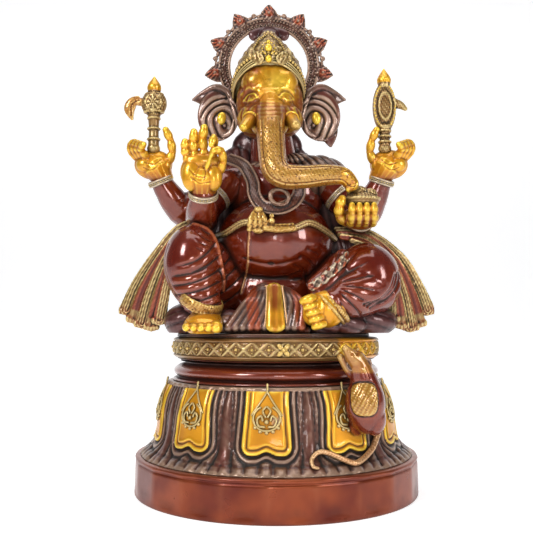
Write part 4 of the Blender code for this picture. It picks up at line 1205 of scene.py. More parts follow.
    def build_drum(self) -> None:
        """The cushion-shaped band with its lattice, beads and florets, and the deck."""
        low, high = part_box("seat_drum")
        base, top, radius = low.z / MM, high.z / MM, high.y / MM
        shape = [
            (-9.0, 0.0), (-5.0, 0.7), (-2.4, 2.2), (-0.6, 3.8), (-0.6, 5.0), (-2.2, 5.8),
            (-1.2, 8.0), (-0.6, 15.0), (-1.2, 22.0), (-2.2, 24.4), (-0.8, 25.2), (-0.6, 26.6),
            (-2.6, 28.4), (-6.0, 29.4), (-12.0, top - base),
        ]
        outer = [(radius + r, base + z) for r, z in curve(shape, 4)]
        skin = self.lathe(self.wall(outer, 4.0, 24.0, 130.0), "drum", 480)
        angle, ring, z = self.polar(skin)
        pitch = 2 * math.pi / self.diamonds
        u, v = np.radians(angle) / pitch, (z - base - 15.0) / 20.5
        face = eased(ring, radius - 3.8, radius - 2.0) * hump(v, 0.52) ** 0.5
        face *= eased(np.abs(z - base - 15.0), 9.6, 8.6)
        ribs = np.zeros_like(u)
        for slope in (1, -1):
            away = np.abs((u + slope * v) % 1.0 - 0.5)
            ribs = np.maximum(ribs, eased(away, 0.385, 0.45))
        self.swell(skin, face * (2.3 * ribs - 1.7 + 0.3 * waves(*skin.xyz, 3.0)))
        skin.worn = 0.35 * ribs * face
        skin.gilt = 0.8 * eased(angle, 28.0, 36.0) * eased(angle, 74.0, 64.0)
        self.bench.show(skin, "lattice_drum", Finish.BRASS, Slot.BRASS, ["seat_drum"])
        clay = Clay(ON_FLOOR)
        for k in range(self.diamonds):
            for share, lift, size in ((0.0, 0.0, 2.7), (0.5, 6.6, 1.1), (0.5, -6.6, 1.1),
                                      (-0.2, 0.0, 1.1), (0.2, 0.0, 1.1), (0.0, 4.4, 1.1),
                                      (0.0, -4.4, 1.1)):
                turn = (k + 0.5 + share) * pitch
                reach = radius - 2.2
                clay.bead((reach * math.sin(turn), -reach * math.cos(turn), base + 15 + lift), size)
        self.bench.show(clay.plain("studs"), "drum_studs", Finish.TRUNK, Slot.GOLD)
        clay = Clay(ON_FLOOR)
        for middle in (3.0, 93.0, 183.0, 273.0):
            for lean in (45, 135, 225, 315):
                turn = math.radians(middle) + 5.6 * math.cos(math.radians(lean)) / radius
                lift = 5.6 * math.sin(math.radians(lean))
                spot = ((radius - 1.0) * math.sin(turn), -(radius - 1.0) * math.cos(turn),
                        base + 15 + lift)
                clay.ball(spot, (5.4, 2.2, 3.2), (0, -lean, middle), 12, 8)
            turn = math.radians(middle)
            clay.bead(
                ((radius + 0.4) * math.sin(turn), -(radius + 0.4) * math.cos(turn), base + 15), 2.8,
                2,
            )
        self.bench.show(clay.plain("florets"), "drum_florets", Finish.TRUNK, Slot.GOLD)


# ------------------------------------------------------------------ head


@dataclass
class Head:
    """Face, trunk, tusks and ears."""

    bench: Bench
    eye_right: Point = (-33.0, 347.0)
    eye_left: Point = (19.0, 347.0)

    def build(self) -> None:
        """Builds and shows the whole head."""
        self.build_face()
        self.build_trunk()
        self.build_tusks()
        self.build_ear("right_ear", 1.0)
        self.build_ear("left_ear", -1.0)

    def build_face(self) -> None:
        """The gold face with its double brow, eyes and cheeks."""
        clay = self.bench.clay()
        clay.ball((-5, -12, 352), (51, 51, 53)).ball((-5, -22, 322), (50, 42, 31))
        clay.ball((-6, -28, 378), (43, 31, 33))
        clay.ball((-22, -38, 372), (26, 21, 24))
        clay.ball((11, -38, 372), (26, 21, 24))
        clay.ball((-30, -44, 318), (22, 20, 22)).ball((20, -44, 318), (22, 20, 22))
        clay.ball((-5, -50, 338), (34, 17, 30))
        clay.ball((-5, -58, 318), (33, 19, 24))
        clay.ball((-5, -62, 302), (27, 18, 18))
        clay.rod([(-4, -2, 320), (-2, 0, 285)], [28, 30])
        clay.rod([(-4, -46, 340), (-4, -68, 318), (-4, -81, 298)], [22, 21, 20], sides=24)
        skin = clay.fused("face", 1.5, 10)
        x, _, z = skin.xyz
        front = skin.front()
        for (ex, ez), side in ((self.eye_right, -1), (self.eye_left, 1)):
            socket = hump(np.hypot((x - ex) / 1.25, z - ez), 12.0)
            skin.push(-3.6 * socket * front)
            skin.push(2.9 * hump(np.hypot((x - ex) / 1.5, z - ez), 6.2) * front)
            upper = [(ex - 10, ez - 2.5 - side), (ex - 5, ez + 3.5), (ex + 1, ez + 5),
                     (ex + 6, ez + 3.3), (ex + 10, ez - 2 + side)]
            lower = [(ex - 10, ez - 2.5 - side), (ex - 4, ez - 5), (ex + 2, ez - 5.5),
                     (ex + 7, ez - 3.8), (ex + 10, ez - 2 + side)]
            skin.groove(upper, 1.6, -1.2, front)
            skin.groove(lower, 1.3, -0.7, front)
            skin.groove([(a, b + 4.2) for a, b in upper], 1.5, 1.1, front)
            skin.groove([(a, b - 3.6) for a, b in lower], 1.5, 0.7, front)
            skin.groove(
                [(ex - 13, ez + 9), (ex - 3, ez + 14), (ex + 11, ez + 10)], 3.2, -1.4, front
            )
            iris = hump(np.hypot(x - ex, z - ez), 2.3)
            skin.push(-1.1 * iris * front)
        for k in range(5):
            level = 338 - 7.0 * k
            bow = [
                (-30 + k, level + 5), (-18, level), (-5, level - 2), (8, level), (21 - k, level + 5)
            ]
            skin.groove(bow, 1.3, 0.35, front)
        skin.groove([(-44, 330), (-47, 318), (-40, 306), (-28, 302)], 2.0, 1.2, front)
        skin.groove([(34, 330), (37, 318), (30, 306), (18, 302)], 2.0, 1.2, front)
        skin.groove([(-5, 398), (-5, 384), (-5, 366)], 5.0, 1.6, front)
        skin.push(0.3 * waves(*skin.xyz, 9.0))
        skin.gilt = 0.9 * eased(z, 334, 316) * hump(x + 5, 24.0) * front
        # Painted shade: the face darkens to its second tone away from a spot right of the middle of
        # the forehead, toward the cheeks and edges.
        skin.tint = eased(np.hypot((x - 4) / 42.0, (z - 362) / 44.0), 0.45, 0.95)
        # Painted highlight: a bright spot on the front of the forehead, right of the middle.
        skin.worn = 0.55 * hump(np.hypot(x - 8, z - 368), 20.0) * front
        self.bench.show(skin, "face", Finish.GOLD, Slot.GOLD, ["head"])

    def build_trunk(self) -> None:
        """The trunk that turns to the sweets, with its chased upper side and two edge lines."""
        path = [(-4, -78, 304), (-4, -84, 290), (-3, -92, 264), (1, -105, 232), (15, -112, 219),
                (40, -116, 217), (72, -115, 220), (94, -112, 219), (106, -107, 210)]
        radii = [19, 20, 19.5, 19, 17.5, 16, 14.5, 12.5, 10]
        clay = self.bench.clay().rod(path, radii, sides=24, per_span=8)
        clay.ball((107, -108, 208), (9.5, 9.5, 9.5)).ball((102, -110, 203), (5, 5, 6))
        skin = clay.fused("trunk", 1.3, 3)
        x, _, z = skin.xyz
        line = [(p[0], p[2]) for p in curve(path, 8)]
        away, share = line_distance(x, z, line)
        front = skin.front()
        size = np.interp(share, np.linspace(0, 1, 9), radii)
        rings = np.cos(share * 2 * math.pi * 46)
        skin.push(0.06 * rings * eased(away / size, 0.72, 0.9))
        skin.push(-0.8 * hump(away / size - 0.66, 0.06) * front)
        skin.push(0.45 * hump(away / size - 0.76, 0.06) * front)
        field = eased(away / size, 0.6, 0.5) * eased(share, 0.04, 0.12) * eased(share, 0.92, 0.84)
        skin.push((0.45 * waves(x, x, z, 2.2) - 0.2) * field * front)
        skin.gilt = eased(share, 0.86, 0.94)
        skin.tint = 0.6 * (1 - field)
        self.bench.show(skin, "trunk_skin", Finish.TRUNK, Slot.BRASS, ["trunk"])

    def build_tusks(self) -> None:
        """The whole right tusk and the broken left one, each in its collar."""
        clay = self.bench.clay()
        clay.rod([(-30, -56, 314), (-36, -74, 304), (-42, -88, 293)], [10.5, 9.5, 6.5], sides=20)
        clay.hoop((-33, -66, 310), (-0.3, -0.8, -0.5), (11, 11), 1.8)
        skin = clay.fused("right_tusk", 0.9, 3)
        self.bench.show(skin, "whole_tusk", Finish.GOLD, Slot.GOLD, ["right_tusk"])
        clay = self.bench.clay()
        clay.rod([(22, -56, 316), (27, -72, 306), (31, -84, 297)], [10.5, 9.0, 7.5], sides=20)
        clay.hoop((25, -64, 311), (0.3, -0.8, -0.5), (11, 11), 1.8)
        skin = clay.fused("left_tusk", 0.9, 3)
        skin.gilt = eased(-skin.points[:, 1], 78, 88)
        self.bench.show(skin, "broken_tusk", Finish.GOLD, Slot.GOLD, ["left_tusk"])

    def build_ear(self, node: str, side: float) -> None:
        """A fan-shaped ear with ribs round a gilt drop.

        Args:
            node: The CAD node that it stands for.
            side: 1 for the idol's right ear, -1 for the left.
        """
        middle = -5.0
        spread = 78.5 if side > 0 else 76.0

        def spot(out: float, z: float, y: float = 2.0) -> tuple[float, float, float]:
            return middle - side * (spread + out), y, z

        tip_z = 297.0 if side > 0 else 288.0
        clay = self.bench.clay()
        clay.ball(spot(1, 338), (31, 7, 40), (0, 12 * side, 12 * side), 32, 20)
        clay.rod([spot(4, 352), spot(22, 363, 4), spot(39, 362, 7)], [22, 14, 2.5], flat=0.3)
        clay.rod([spot(6, 326), spot(14, 306, 3), spot(18 if side > 0 else 17, tip_z, 3)],
                 [24, 15, 3], flat=0.3)
        clay.rod([spot(-22, 352, -6), spot(-14, 372, -2), spot(4, 380, -1), spot(24, 372, 3),
                  spot(40, 362, 6)], [4, 5, 5, 4, 2], flat=0.8, sides=10)
        clay.rod([spot(-24, 350, -4), spot(-27, 330, -4), spot(-20, 310, -2), spot(-4, 300, 0),
                  spot(16, 298, 2)], [5, 5, 4, 4, 2.5], flat=0.8, sides=10)
        skin = clay.fused(node, 1.2, 3)
        x, _, z = skin.xyz
        out = -(x - middle) * side - spread
        front = skin.front()
        sweep = np.hypot(out + 10.0, (z - 320.0) * 0.85) + 2.2 * np.sin(z / 8.0 + out / 14.0)
        ribs = np.abs(np.sin(math.pi * (sweep - 6.0) / 10.4)) ** 0.6
        zone = eased(np.hypot((out + 3) / 31.0, (z - 331) / 38.0), 1.0, 0.88)
        skin.push((4.6 * ribs - 4.0) * zone * front)
        skin.worn = 0.6 * zone * eased(ribs, 0.7, 0.95) * front * (0.6 + 0.4 * np.sin(x / 6.0))
        skin.tint = 0.5 + 0.5 * np.sin(x / 7.0 + z / 9.0)
        skin.gilt = 1.0 - zone
        self.bench.show(skin, node + "_fan", Finish.EAR, Slot.BROWN, [node])
        clay = self.bench.clay().ball(
            spot(-5, 330, -4), (7.0, 4.5, 10.0), (0, 10 * side, 0), 20, 14
        )
        self.bench.show(clay.plain(node + "_drop"), node + "_drop", Finish.GOLD, Slot.GOLD)


@dataclass
class Crown:
    """The tall cap with its beaded brow band and leaf-shaped crest."""

    bench: Bench

    def rim(self, lean: float, lift: float) -> tuple[float, float, float]:
        """A point on the brow band at an angle from the front, in degrees."""
        turn = math.radians(lean)
        z = 399.0 - 33.0 * (1 - math.cos(turn)) - 4.0 * abs(math.sin(turn)) + lift
        return -7 + 53.5 * math.sin(turn), -8 - 51.0 * math.cos(turn), z

    def build(self) -> None:
        """Builds and shows the cap and its ornaments."""
        clay = self.bench.clay()
        levels = [(350, 53, -8), (392, 53, -8), (404, 50, -10), (416, 44, -12), (431, 33, -15),
                  (446, 19, -17), (456, 10, -18), (462, 2, -18)]
        frames = [Matrix.Translation(self.bench.place.at((-7, y, z)))
                  @ Matrix.Diagonal((r * MM, r * 0.96 * MM, MM, 1)) for z, r, y in levels]
        clay.sweep(frames, 48)
        skin = clay.fused("crown", 1.4, 3)
        x, y, z = skin.xyz
        keep = z > 400 - 33 * (1 + (y + 8) / 51.0)
        skin = self.trimmed(skin, keep)
        x, y, z = skin.xyz
        turn = np.arctan2(x + 5, -(y + 12))
        tier = np.cos(2 * math.pi * (z - 402) / 11.0)
        lobes = np.cos(turn * 16) * np.cos(math.pi * (z - 402) / 11.0)
        upper = eased(z, 400, 406)
        skin.push((0.6 * tier + 0.5 * lobes + 0.5 * waves(x, y, z, 3.2)) * upper)
        self.bench.show(skin, "crown_cap", Finish.BRASS, Slot.BRASS, ["crown"])
        clay = self.bench.clay()
        for lift, thick in ((0.0, 1.9), (4.2, 1.2), (8.0, 1.5)):
            line = [self.rim(lean, lift) for lean in range(-150, 151, 6)]
            clay.rod(line, [thick] * len(line), sides=8, per_span=1)
        self.bench.show(clay.plain("brow_band"), "brow_band", Finish.BRASS, Slot.BRASS)
        clay = self.bench.clay()
        outward = [(self.rim(lean, 12.5), math.radians(lean)) for lean in range(-144, 145, 4)]
        clay.string(
            [(x + 1.2 * math.sin(t), y - 1.2 * math.cos(t), z) for (x, y, z), t in outward], 2.9,
            1.9,
        )
        clay.string([self.rim(lean, 17.0) for lean in range(-110, 111, 4)], 1.3, 2.6)
        for side in (-1, 1):
            clay.string([(-7 + side * 3, -36, 449), (-7 + side * 14, -42, 438),
                         (-7 + side * 21, -45, 426), (-7 + side * 25, -49, 415)], 1.8, 2.0)
            clay.string([(-7 + side * 21, -37, 431), (-7 + side * 33, -37, 419)], 1.7, 2.3)
        self.bench.show(clay.plain("brow_beads"), "brow_beads", Finish.TRUNK, Slot.GOLD)
        self.build_crest()

    @staticmethod
    def trimmed(skin: Skin, keep: Array) -> Skin:
        """The skin without the points that aren't kept, its opening closed by a cap.

        Args:
            skin: The skin to trim.
            keep: Which points stay.

        Returns:
            A new skin.
        """
        skin.write()
        bm = bmesh.new()
        bm.from_mesh(skin.mesh)
        bm.verts.ensure_lookup_table()
        gone = [bm.verts[i] for i in np.flatnonzero(~keep)]
        bmesh.ops.delete(bm, geom=gone, context="VERTS")
        rim = [edge for edge in bm.edges if len(edge.link_faces) == 1]
        bmesh.ops.edgenet_fill(bm, edges=rim)
        bmesh.ops.triangulate(bm, faces=[face for face in bm.faces if len(face.verts) > 4])
        return Skin(mesh_from(bm, skin.mesh.name), skin.place)

    def build_crest(self) -> None:
        """The leaf on the front of the cap, with a jewel, side leaves and a finial."""
        clay = self.bench.clay()
        clay.rod([(-7, -58, 404), (-7, -55, 416), (-7, -46, 432), (-7, -34, 448)], [10, 14, 10, 2],
                 flat=0.3, flat_axis=(0, 1, 0.5))
        for side in (-1, 1):
            clay.rod([(-5 + side * 14, -60, 400), (-5 + side * 25, -54, 410),
                      (-5 + side * 27, -48, 422)], [8, 8, 2], flat=0.35, flat_axis=(0, 1, 0.5))
        skin = clay.fused("crest", 1.0, 2)
        x, _, z = skin.xyz
        rings = np.cos(2 * math.pi * np.hypot(x + 5, (z - 412) * 0.8) / 6.0)
        skin.push((0.3 * rings + 0.4 * waves(*skin.xyz, 2.6)) * skin.front())
        self.bench.show(skin, "crown_crest", Finish.BRASS, Slot.BRASS)
        clay = self.bench.clay()
        clay.ball((-7, -62, 418), (5.4, 4.0, 5.6)).ball((-7, -63, 401), (4.8, 4, 5.4))
        clay.ball((-7, -51, 430), (3.4, 3, 4.2))
        for k in range(12):
            turn = math.radians(30 * k)
            clay.bead((-7 + 9.5 * math.sin(turn), -59.5 + 2.4 * math.cos(turn),
                       418 + 10.5 * math.cos(turn)), 1.3)
        self.bench.show(clay.plain("crest_jewels"), "crest_jewels", Finish.GOLD, Slot.GOLD)


@dataclass
class Halo:
    """The arch behind the head, with seven leaves and paired curls between them."""

    bench: Bench
    centre: Point = (-6.0, 61.0, 434.0)
    inner: float = 63.0
    band: float = 18.0
    pitch: float = 32.5
    arc: float = 128.0

    def at(self, lean: float, reach: float, depth: float = 0.0) -> tuple[float, float, float]:
        """A point at an angle from the top and a distance from the centre."""
        turn = math.radians(lean)
        x, y, z = self.centre
        return x + reach * math.sin(turn), y + depth, z + reach * math.cos(turn)

    def build(self) -> None:
        """Builds and shows the arch, its leaves and its studs."""
        middle = self.inner + self.band / 2
        clay = self.bench.clay()
        steps = np.linspace(-self.arc, self.arc, 90)
        clay.rod([self.at(a, middle) for a in steps], [self.band / 2] * 90, flat=0.36, per_span=1)
        for reach, thick in ((self.inner + 1.5, 2.4), (self.inner + self.band - 1.0, 2.2),
                             (self.inner + 8.5, 1.3)):
            clay.rod([self.at(a, reach, -2.4) for a in steps], [thick] * 90, sides=8, per_span=1)
        clay.rod([self.at(-self.arc, middle), self.at(self.arc, middle)], [8, 8], flat=0.5)
        outer = self.inner + self.band
        for k in range(-3, 4):
            self.leaf(clay, k * self.pitch, outer)
        for k in range(-3, 3):
            for lean, size in ((-5.4, 3.8), (5.4, 3.8), (0.0, 4.4)):
                spot = self.at((k + 0.5) * self.pitch + lean, outer + (4 if lean else 7))
                clay.ball(spot, (size, 3.6, size), segments=12, rings=8)
        skin = clay.fused("halo", 1.25, 2)
        x, y, z = skin.xyz
        cx, _, cz = self.centre
        lean = np.degrees(np.arctan2(x - cx, z - cz))
        away = np.hypot(x - cx, z - cz)
        front = skin.front(0.3, 0.7)
        leaf = (lean + self.pitch / 2) % self.pitch - self.pitch / 2
        vein = hump(np.radians(leaf) * away, 1.3) * eased(away, outer + 2, outer + 6)
        skin.push(-1.2 * vein * front)
        side = np.cos(np.radians(leaf) * away * 1.1 + (away - outer) * 0.5)
        skin.push(0.55 * side * eased(away, outer + 3, outer + 8) * front)
        skin.push(0.5 * waves(x, y, z, 2.8) * eased(away, self.inner, self.inner + 4))
        inside = hump(np.radians(leaf) * away, 8.0) * eased(away, outer - 1, outer + 3)
        skin.gilt = inside * (np.abs(lean) < 112) * eased(away, outer + 21, outer + 17) * front
        self.bench.show(skin, "halo_arch", Finish.HALO, Slot.BROWN, ["halo"])
        clay = self.bench.clay()
        clay.string([self.at(a, self.inner + 5.0, -3.4) for a in steps], 1.5, 2.6)
        clay.string([self.at(a, self.inner + 12.6, -3.4) for a in steps], 1.8, 3.0)
        for k in range(-3, 4):
            clay.bead(self.at(k * self.pitch, outer + 7, -6.0), 2.6, 2)
        self.bench.show(clay.plain("halo_studs"), "halo_studs", Finish.HALO, Slot.BROWN)
        self.build_lining()

    def leaf(self, clay: Clay, lean: float, outer: float) -> None:
        """Adds one three-lobed leaf to the arch.

        Args:
            clay: What it's added to.
            lean: Its angle from the top.
            outer: The arch's outer radius.
        """
        clay.rod([self.at(lean, outer - 6), self.at(lean, outer + 4), self.at(lean, outer + 13),
                  self.at(lean, outer + 24)], [15, 15, 11, 1.8], flat=0.28)
        clay.rod([self.at(lean, outer, -3), self.at(lean, outer + 8, -3.5),
                  self.at(lean, outer + 15, -3)], [7, 7.5, 2], flat=0.45)

    def build_lining(self) -> None:
        """The curved lining between the cap and the top of the arch."""
        clay = self.bench.clay()
        reach = self.inner - 7.0
        line = [self.at(a, reach, -5.0) for a in np.linspace(-27, 27, 24)]
        clay.rod(line, [9.5] * 24, flat=0.5, per_span=1)
        clay.rod([self.at(0, reach - 4, -8), (-5, 38, 462), (-5, 16, 442)], [16, 13, 10], flat=0.5)
        skin = clay.fused("lining", 1.5, 3)
        self.bench.show(skin, "halo_lining", Finish.MAROON, Slot.RED)


# ------------------------------------------------------------------ body


@dataclass
class Body:
    """Torso, legs, feet and the cloth and cords that lie on them."""

    bench: Bench

    def build(self) -> None:
        """Builds and shows the seated body."""
        self.build_deck()
        self.build_torso()
        self.build_shawl()
        self.build_scarf()
        self.build_knot()
        self.build_belt()
        self.build_right_leg()
        self.build_left_leg()
        self.build_feet()

    def build_deck(self) -> None:
        """The moulded edge plate that the figure sits on."""
        low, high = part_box("base_plate")
        radius, thick = (high.x - low.x) / 2 / MM, (high.z - low.z) / MM
        shape = [(-1.6, 0.0), (-0.2, 0.5), (0.0, 1.6), (-0.7, 2.4), (-0.3, 3.3), (-0.8, 4.4),
                 (-2.4, thick)]
        outer = [(radius + r, low.z / MM + z) for r, z in curve(shape, 2)]
        skin = Pedestal(self.bench).lathe(
            Pedestal.wall(outer, 2.4, radius - 8, radius - 8), "deck", 200
        )
        skin.points[:, 0] += (low.x + high.x) / 2 / MM
        self.bench.show(skin, "deck_plate", Finish.BROWN, Slot.BROWN, ["base_plate"], sharp=50)

    def build_torso(self) -> None:
        """The round belly, chest and neck."""
        clay = self.bench.clay()
        clay.ball((2, -20, 138), (86, 78, 68), segments=48, rings=28)
        clay.ball((0, 4, 60), (84, 72, 62), segments=40, rings=24)
        clay.ball((8, 6, 214), (76, 52, 60), segments=40, rings=24)
        clay.ball((4, 20, 132), (82, 48, 124), segments=40, rings=28)
        clay.rod([(-66, 16, 236), (8, 14, 238), (80, 16, 236)], [27, 27, 27], sides=24)
        clay.rod([(2, 4, 248), (-2, 0, 296)], [38, 32], sides=24)
        skin = clay.fused("torso", 2.0, 5)
        skin.rest_on(5.4)
        x, _, z = skin.xyz
        front = skin.front()
        skin.groove([(-42, 110), (-22, 103), (-4, 101), (14, 102), (36, 109)], 2.4, 1.3, front)
        skin.groove([(-44, 90), (-26, 85), (-4, 83), (18, 84), (38, 91)], 2.2, 1.5, front)
        skin.groove([(-32, 68), (-4, 64), (26, 68)], 3.0, 1.2, front)
        skin.push(-2.2 * hump(np.hypot((x + 4) / 1.8, z - 101), 2.6) * front)
        cord = skin.groove(
            [(-33, 148), (-35, 124), (-36, 100), (-42, 78), (-46, 62)], 1.5, -1.7, front
        )
        skin.gilt = eased(cord, 0.3, 0.6)
        for line in ([(30, 100), (44, 92), (50, 76)], [(38, 112), (54, 104), (62, 90)],
                     [(48, 122), (62, 116)]):
            skin.groove(line, 3.0, 1.2, front)
        skin.groove([(-30, 206), (-20, 190), (4, 184)], 3.0, 1.4, front)
        skin.push(0.25 * waves(*skin.xyz, 14.0))
        self.bench.show(skin, "torso_skin", Finish.RED, Slot.RED, ["torso"])
        self.build_back_cloth()
        self.build_seat_cloth()

    def build_back_cloth(self) -> None:
        """The dark hair behind the neck and the cloth that hangs behind both arms."""
        clay = self.bench.clay()
        clay.ball((-9, 20, 292), (55, 22, 34))
        clay.ball((-50, 20, 268), (30, 22, 26))
        clay.ball((34, 24, 268), (26, 20, 22))
        clay.rod(
            [(-70, 4, 226), (-84, 2, 196), (-92, 0, 160), (-96, -2, 126)], [24, 24, 26, 26],
            flat=0.6, flat_axis=(0, 1, 0), sides=20,
        )
        clay.rod(
            [(74, 4, 226), (84, 2, 196), (92, 0, 160), (98, -2, 120)], [26, 28, 30, 30], flat=0.6,
            flat_axis=(0, 1, 0), sides=20,
        )
        skin = clay.fused("back_cloth", 2.0, 3)
        x, _, z = skin.xyz
        hang = np.abs(np.sin(x / 4.6 + z / 26.0)) ** 0.7 - 0.7
        skin.push(1.8 * hang * eased(z, 300, 280))
        skin.tint = 0.5 + 0.5 * np.sin(x / 7.0)
        self.bench.show(skin, "back_cloth", Finish.MAROON, Slot.BROWN)

    def build_seat_cloth(self) -> None:
        """The gathered cloth on the seat under both legs."""
        clay = self.bench.clay()
        clay.ball((122, -56, 22), (54, 42, 26))
        clay.ball((92, -92, 18), (34, 26, 18))
        clay.ball((68, -102, 14), (26, 20, 14))
        clay.ball((-124, -50, 22), (32, 36, 26)).ball((-60, -96, 18), (24, 22, 20))
        skin = clay.fused("seat_cloth", 1.8, 3)
        skin.rest_on(5.6)
        x, _, z = skin.xyz
        skin.push(1.8 * (np.abs(np.sin(z / 5.2 + np.abs(x) / 15.0)) ** 0.7 - 0.8) * skin.front())
        skin.tint = 0.5 + 0.5 * np.sin(z / 4.0 + x / 20.0)
        skin.rest_on(5.6)
        self.bench.show(skin, "seat_cloth", Finish.MAROON, Slot.BROWN)

    def build_shawl(self) -> None:
        """The pleated cloth over the idol's left shoulder."""
        clay = self.bench.clay()
        clay.ball((66, 2, 236), (50, 46, 37), segments=36, rings=22)
        clay.ball((34, 4, 262), (34, 36, 14)).ball((-2, 2, 252), (40, 38, 13))
        skin = clay.fused("shawl", 1.4, 4)
        x, y, z = skin.xyz
        fan = np.arctan2(z - 288, x - 6)
        folds = np.abs(np.sin(fan * 17 + 0.12 * np.hypot(x, z - 288))) ** 0.7
        skin.push((2.2 * folds - 1.4) * eased(-y, -34, -6))
        skin.gilt = 0.32 * (np.sin(fan * 17) > 0.9)
        self.bench.show(skin, "shoulder_shawl_folds", Finish.BROWN, Slot.BROWN, ["shoulder_shawl"])

    def ribbon(
        self, clay: Clay, path: Sequence[Point], width: float, thick: float, away: Point
    ) -> None:
        """Adds a flat ribbon with a raised cord along each edge.

        Args:
            clay: What it's added to.
            path: Its middle line.
            width: Half its width.
            thick: Half its thickness.
            away: The way its face looks.
        """
        rows = curve(path, 6)
        clay.rod(rows, [width] * len(rows), flat=thick / width, flat_axis=away, per_span=1)
        spots = [Vector(row) for row in rows]
        last = len(spots) - 1
        for side in (-1, 1):
            edge = []
            for i, spot in enumerate(spots):
                run = (spots[min(i + 1, last)] - spots[max(i - 1, 0)]).normalized()
                across = run.cross(Vector(away)).normalized()
                edge.append(
                    spot + across * side * (width - 1.4) + Vector(away).normalized() * thick * 0.5
                )
            clay.rod(edge, [1.7] * len(edge), sides=8, per_span=1)

    def build_scarf(self) -> None:
        """The scarf that crosses under the trunk, with its ring."""
        path = [(-68, -20, 264), (-44, -46, 248), (-30, -68, 220), (-27, -84, 198), (-16, -94, 181),
                (6, -99, 176), (25, -95, 184), (35, -86, 198), (36, -74, 212)]
        clay = self.bench.clay()
        self.ribbon(clay, path, 9.5, 3.4, (0.0, -1.0, 0.3))
        clay.hoop((8, -101, 192), (0.2, -1, 0.2), (13, 11.5), 3.2)
        skin = clay.fused("scarf", 1.1, 2)
        x, _, z = skin.xyz
        away, share = line_distance(x, z, [(p[0], p[2]) for p in curve(path, 6)])
        skin.push(-0.8 * eased(away, 6.4, 5.2) * skin.front() + 0.25 * waves(x, x, z, 3.0))
        skin.worn = 0.7 * eased(away, 6.4, 7.6)
        skin.tint = 0.6 * eased(share, 0.0, 1.0)
        self.bench.show(skin, "scarf", Finish.BROWN, Slot.BROWN, ["garland"])

    def build_knot(self) -> None:
        """The gathered gold cloth and the bar that clasp the belt."""
        clay = self.bench.clay()
        for shift, lean in ((-9, -5), (-3, -2), (3, 2), (9, 4)):
            clay.rod([(-22 + shift * 0.4, -104, 172), (-22 + shift, -107, 160),
                      (-22 + shift + lean * 0.5, -105, 147)], [3.2, 4.4, 3.6], flat=0.8)
        clay.ball((-21, -107, 174), (6, 4.5, 4)).ball((-21, -106, 145), (8, 5, 4))
        clay.rod([(-12, -108, 148), (6, -110, 146), (28, -105, 148)], [4.0, 4.4, 4.0])
        clay.rod([(-10, -106, 154), (6, -108, 152), (26, -103, 154)], [2.0, 2.0, 2.0])
        clay.bead((-3, -109, 158), 4.6, 2).bead((-3, -107, 165), 3.6, 2)
        skin = clay.fused("clasp", 0.9, 2)
        skin.push(0.3 * waves(*skin.xyz, 3.0))
        self.bench.show(skin, "belt_clasp", Finish.TRUNK, Slot.BRASS)

    def build_belt(self) -> None:
        """The serpent tied round the belly, scaled and ridged."""
        path = [
            (-86, -30, 146), (-68, -70, 146), (-44, -94, 157), (-22, -102, 156), (-6, -104, 149),
            (26, -101, 149), (50, -89, 158), (74, -64, 150), (90, -34, 142),
        ]
        clay = self.bench.clay()
        clay.rod(path, [4.2, 4.4, 4.6, 4.6, 4.6, 4.6, 4.6, 4.4, 4.2], sides=14, per_span=8)
        skin = clay.fused("belt", 1.0, 2)
        x, _, z = skin.xyz
        away, share = line_distance(x, z, [(p[0], p[2]) for p in curve(path, 8)])
        skin.push(0.16 * np.cos(share * 2 * math.pi * 44 + away * 0.8))
        skin.push(-0.7 * hump(away - 0.2, 0.8) * skin.front())
        self.bench.show(skin, "serpent_belt_skin", Finish.BRASS, Slot.BRASS, ["serpent_belt"])

    @staticmethod
    def drawn_folds(skin: Skin, centre: Point, pitch: float, start: float, squash: float) -> Array:
        """The height of folds that circle a point: broad pillows between narrow creases."""
        x, _, z = skin.xyz
        away = np.hypot(x - centre[0], (z - centre[1]) * squash)
        away = away + 1.6 * np.sin(np.arctan2(z - centre[1], x - centre[0]) * 3.0)
        return np.abs(np.sin(math.pi * (away - start) / pitch)) ** 0.55 - 1.0

    def build_right_leg(self) -> None:
        """The bent right leg: a tight cloth with folds that gather at the inner side."""
        clay = self.bench.clay()
        clay.ball((-113, -78, 102), (41, 45, 55), segments=40, rings=26)
        clay.rod([(-62, -18, 66), (-90, -44, 92), (-110, -74, 106)], [38, 42, 42], sides=28)
        clay.rod([(-113, -80, 92), (-103, -96, 62), (-93, -106, 44)], [39, 33, 23], sides=28)
        skin = clay.fused("right_leg", 1.7, 4)
        x, _, z = skin.xyz
        front = skin.front()
        low_folds = self.drawn_folds(skin, (-134, 150), 13.0, 4.0, 1.0)
        x, _, z = skin.xyz
        reach = np.hypot(x + 134, z - 150)
        zone = eased(reach, 42, 60) * eased(x - 0.5 * (z - 100), -134, -112)
        skin.push(3.2 * low_folds * zone * front)
        top_folds = self.drawn_folds(skin, (-64, 190), 8.0, 2.0, 0.9)
        x, _, z = skin.xyz
        upper = eased(z, 96, 116) * eased(x, -112, -92)
        skin.push(2.0 * top_folds * upper * (1 - zone) * front)
        hem = [(-112, 156), (-92, 148), (-80, 130), (-74, 106), (-70, 84), (-71, 66)]
        rope = skin.groove(hem, 2.4, -3.4, eased(-skin.normals()[:, 1], -0.4, 0.1))
        side = [(-151, 128), (-157, 106), (-154, 82), (-143, 60), (-124, 40)]
        for shift in (0, 6.5):
            skin.groove(
                [(a + shift, b) for a, b in side], 1.8, 1.6, eased(-skin.normals()[:, 1], -0.5, 0.0)
            )
        skin.worn = eased(rope, 0.35, 0.7)
        skin.rest_on(6.0)
        self.bench.show(skin, "right_leg_cloth", Finish.RED, Slot.RED, ["right_leg"])

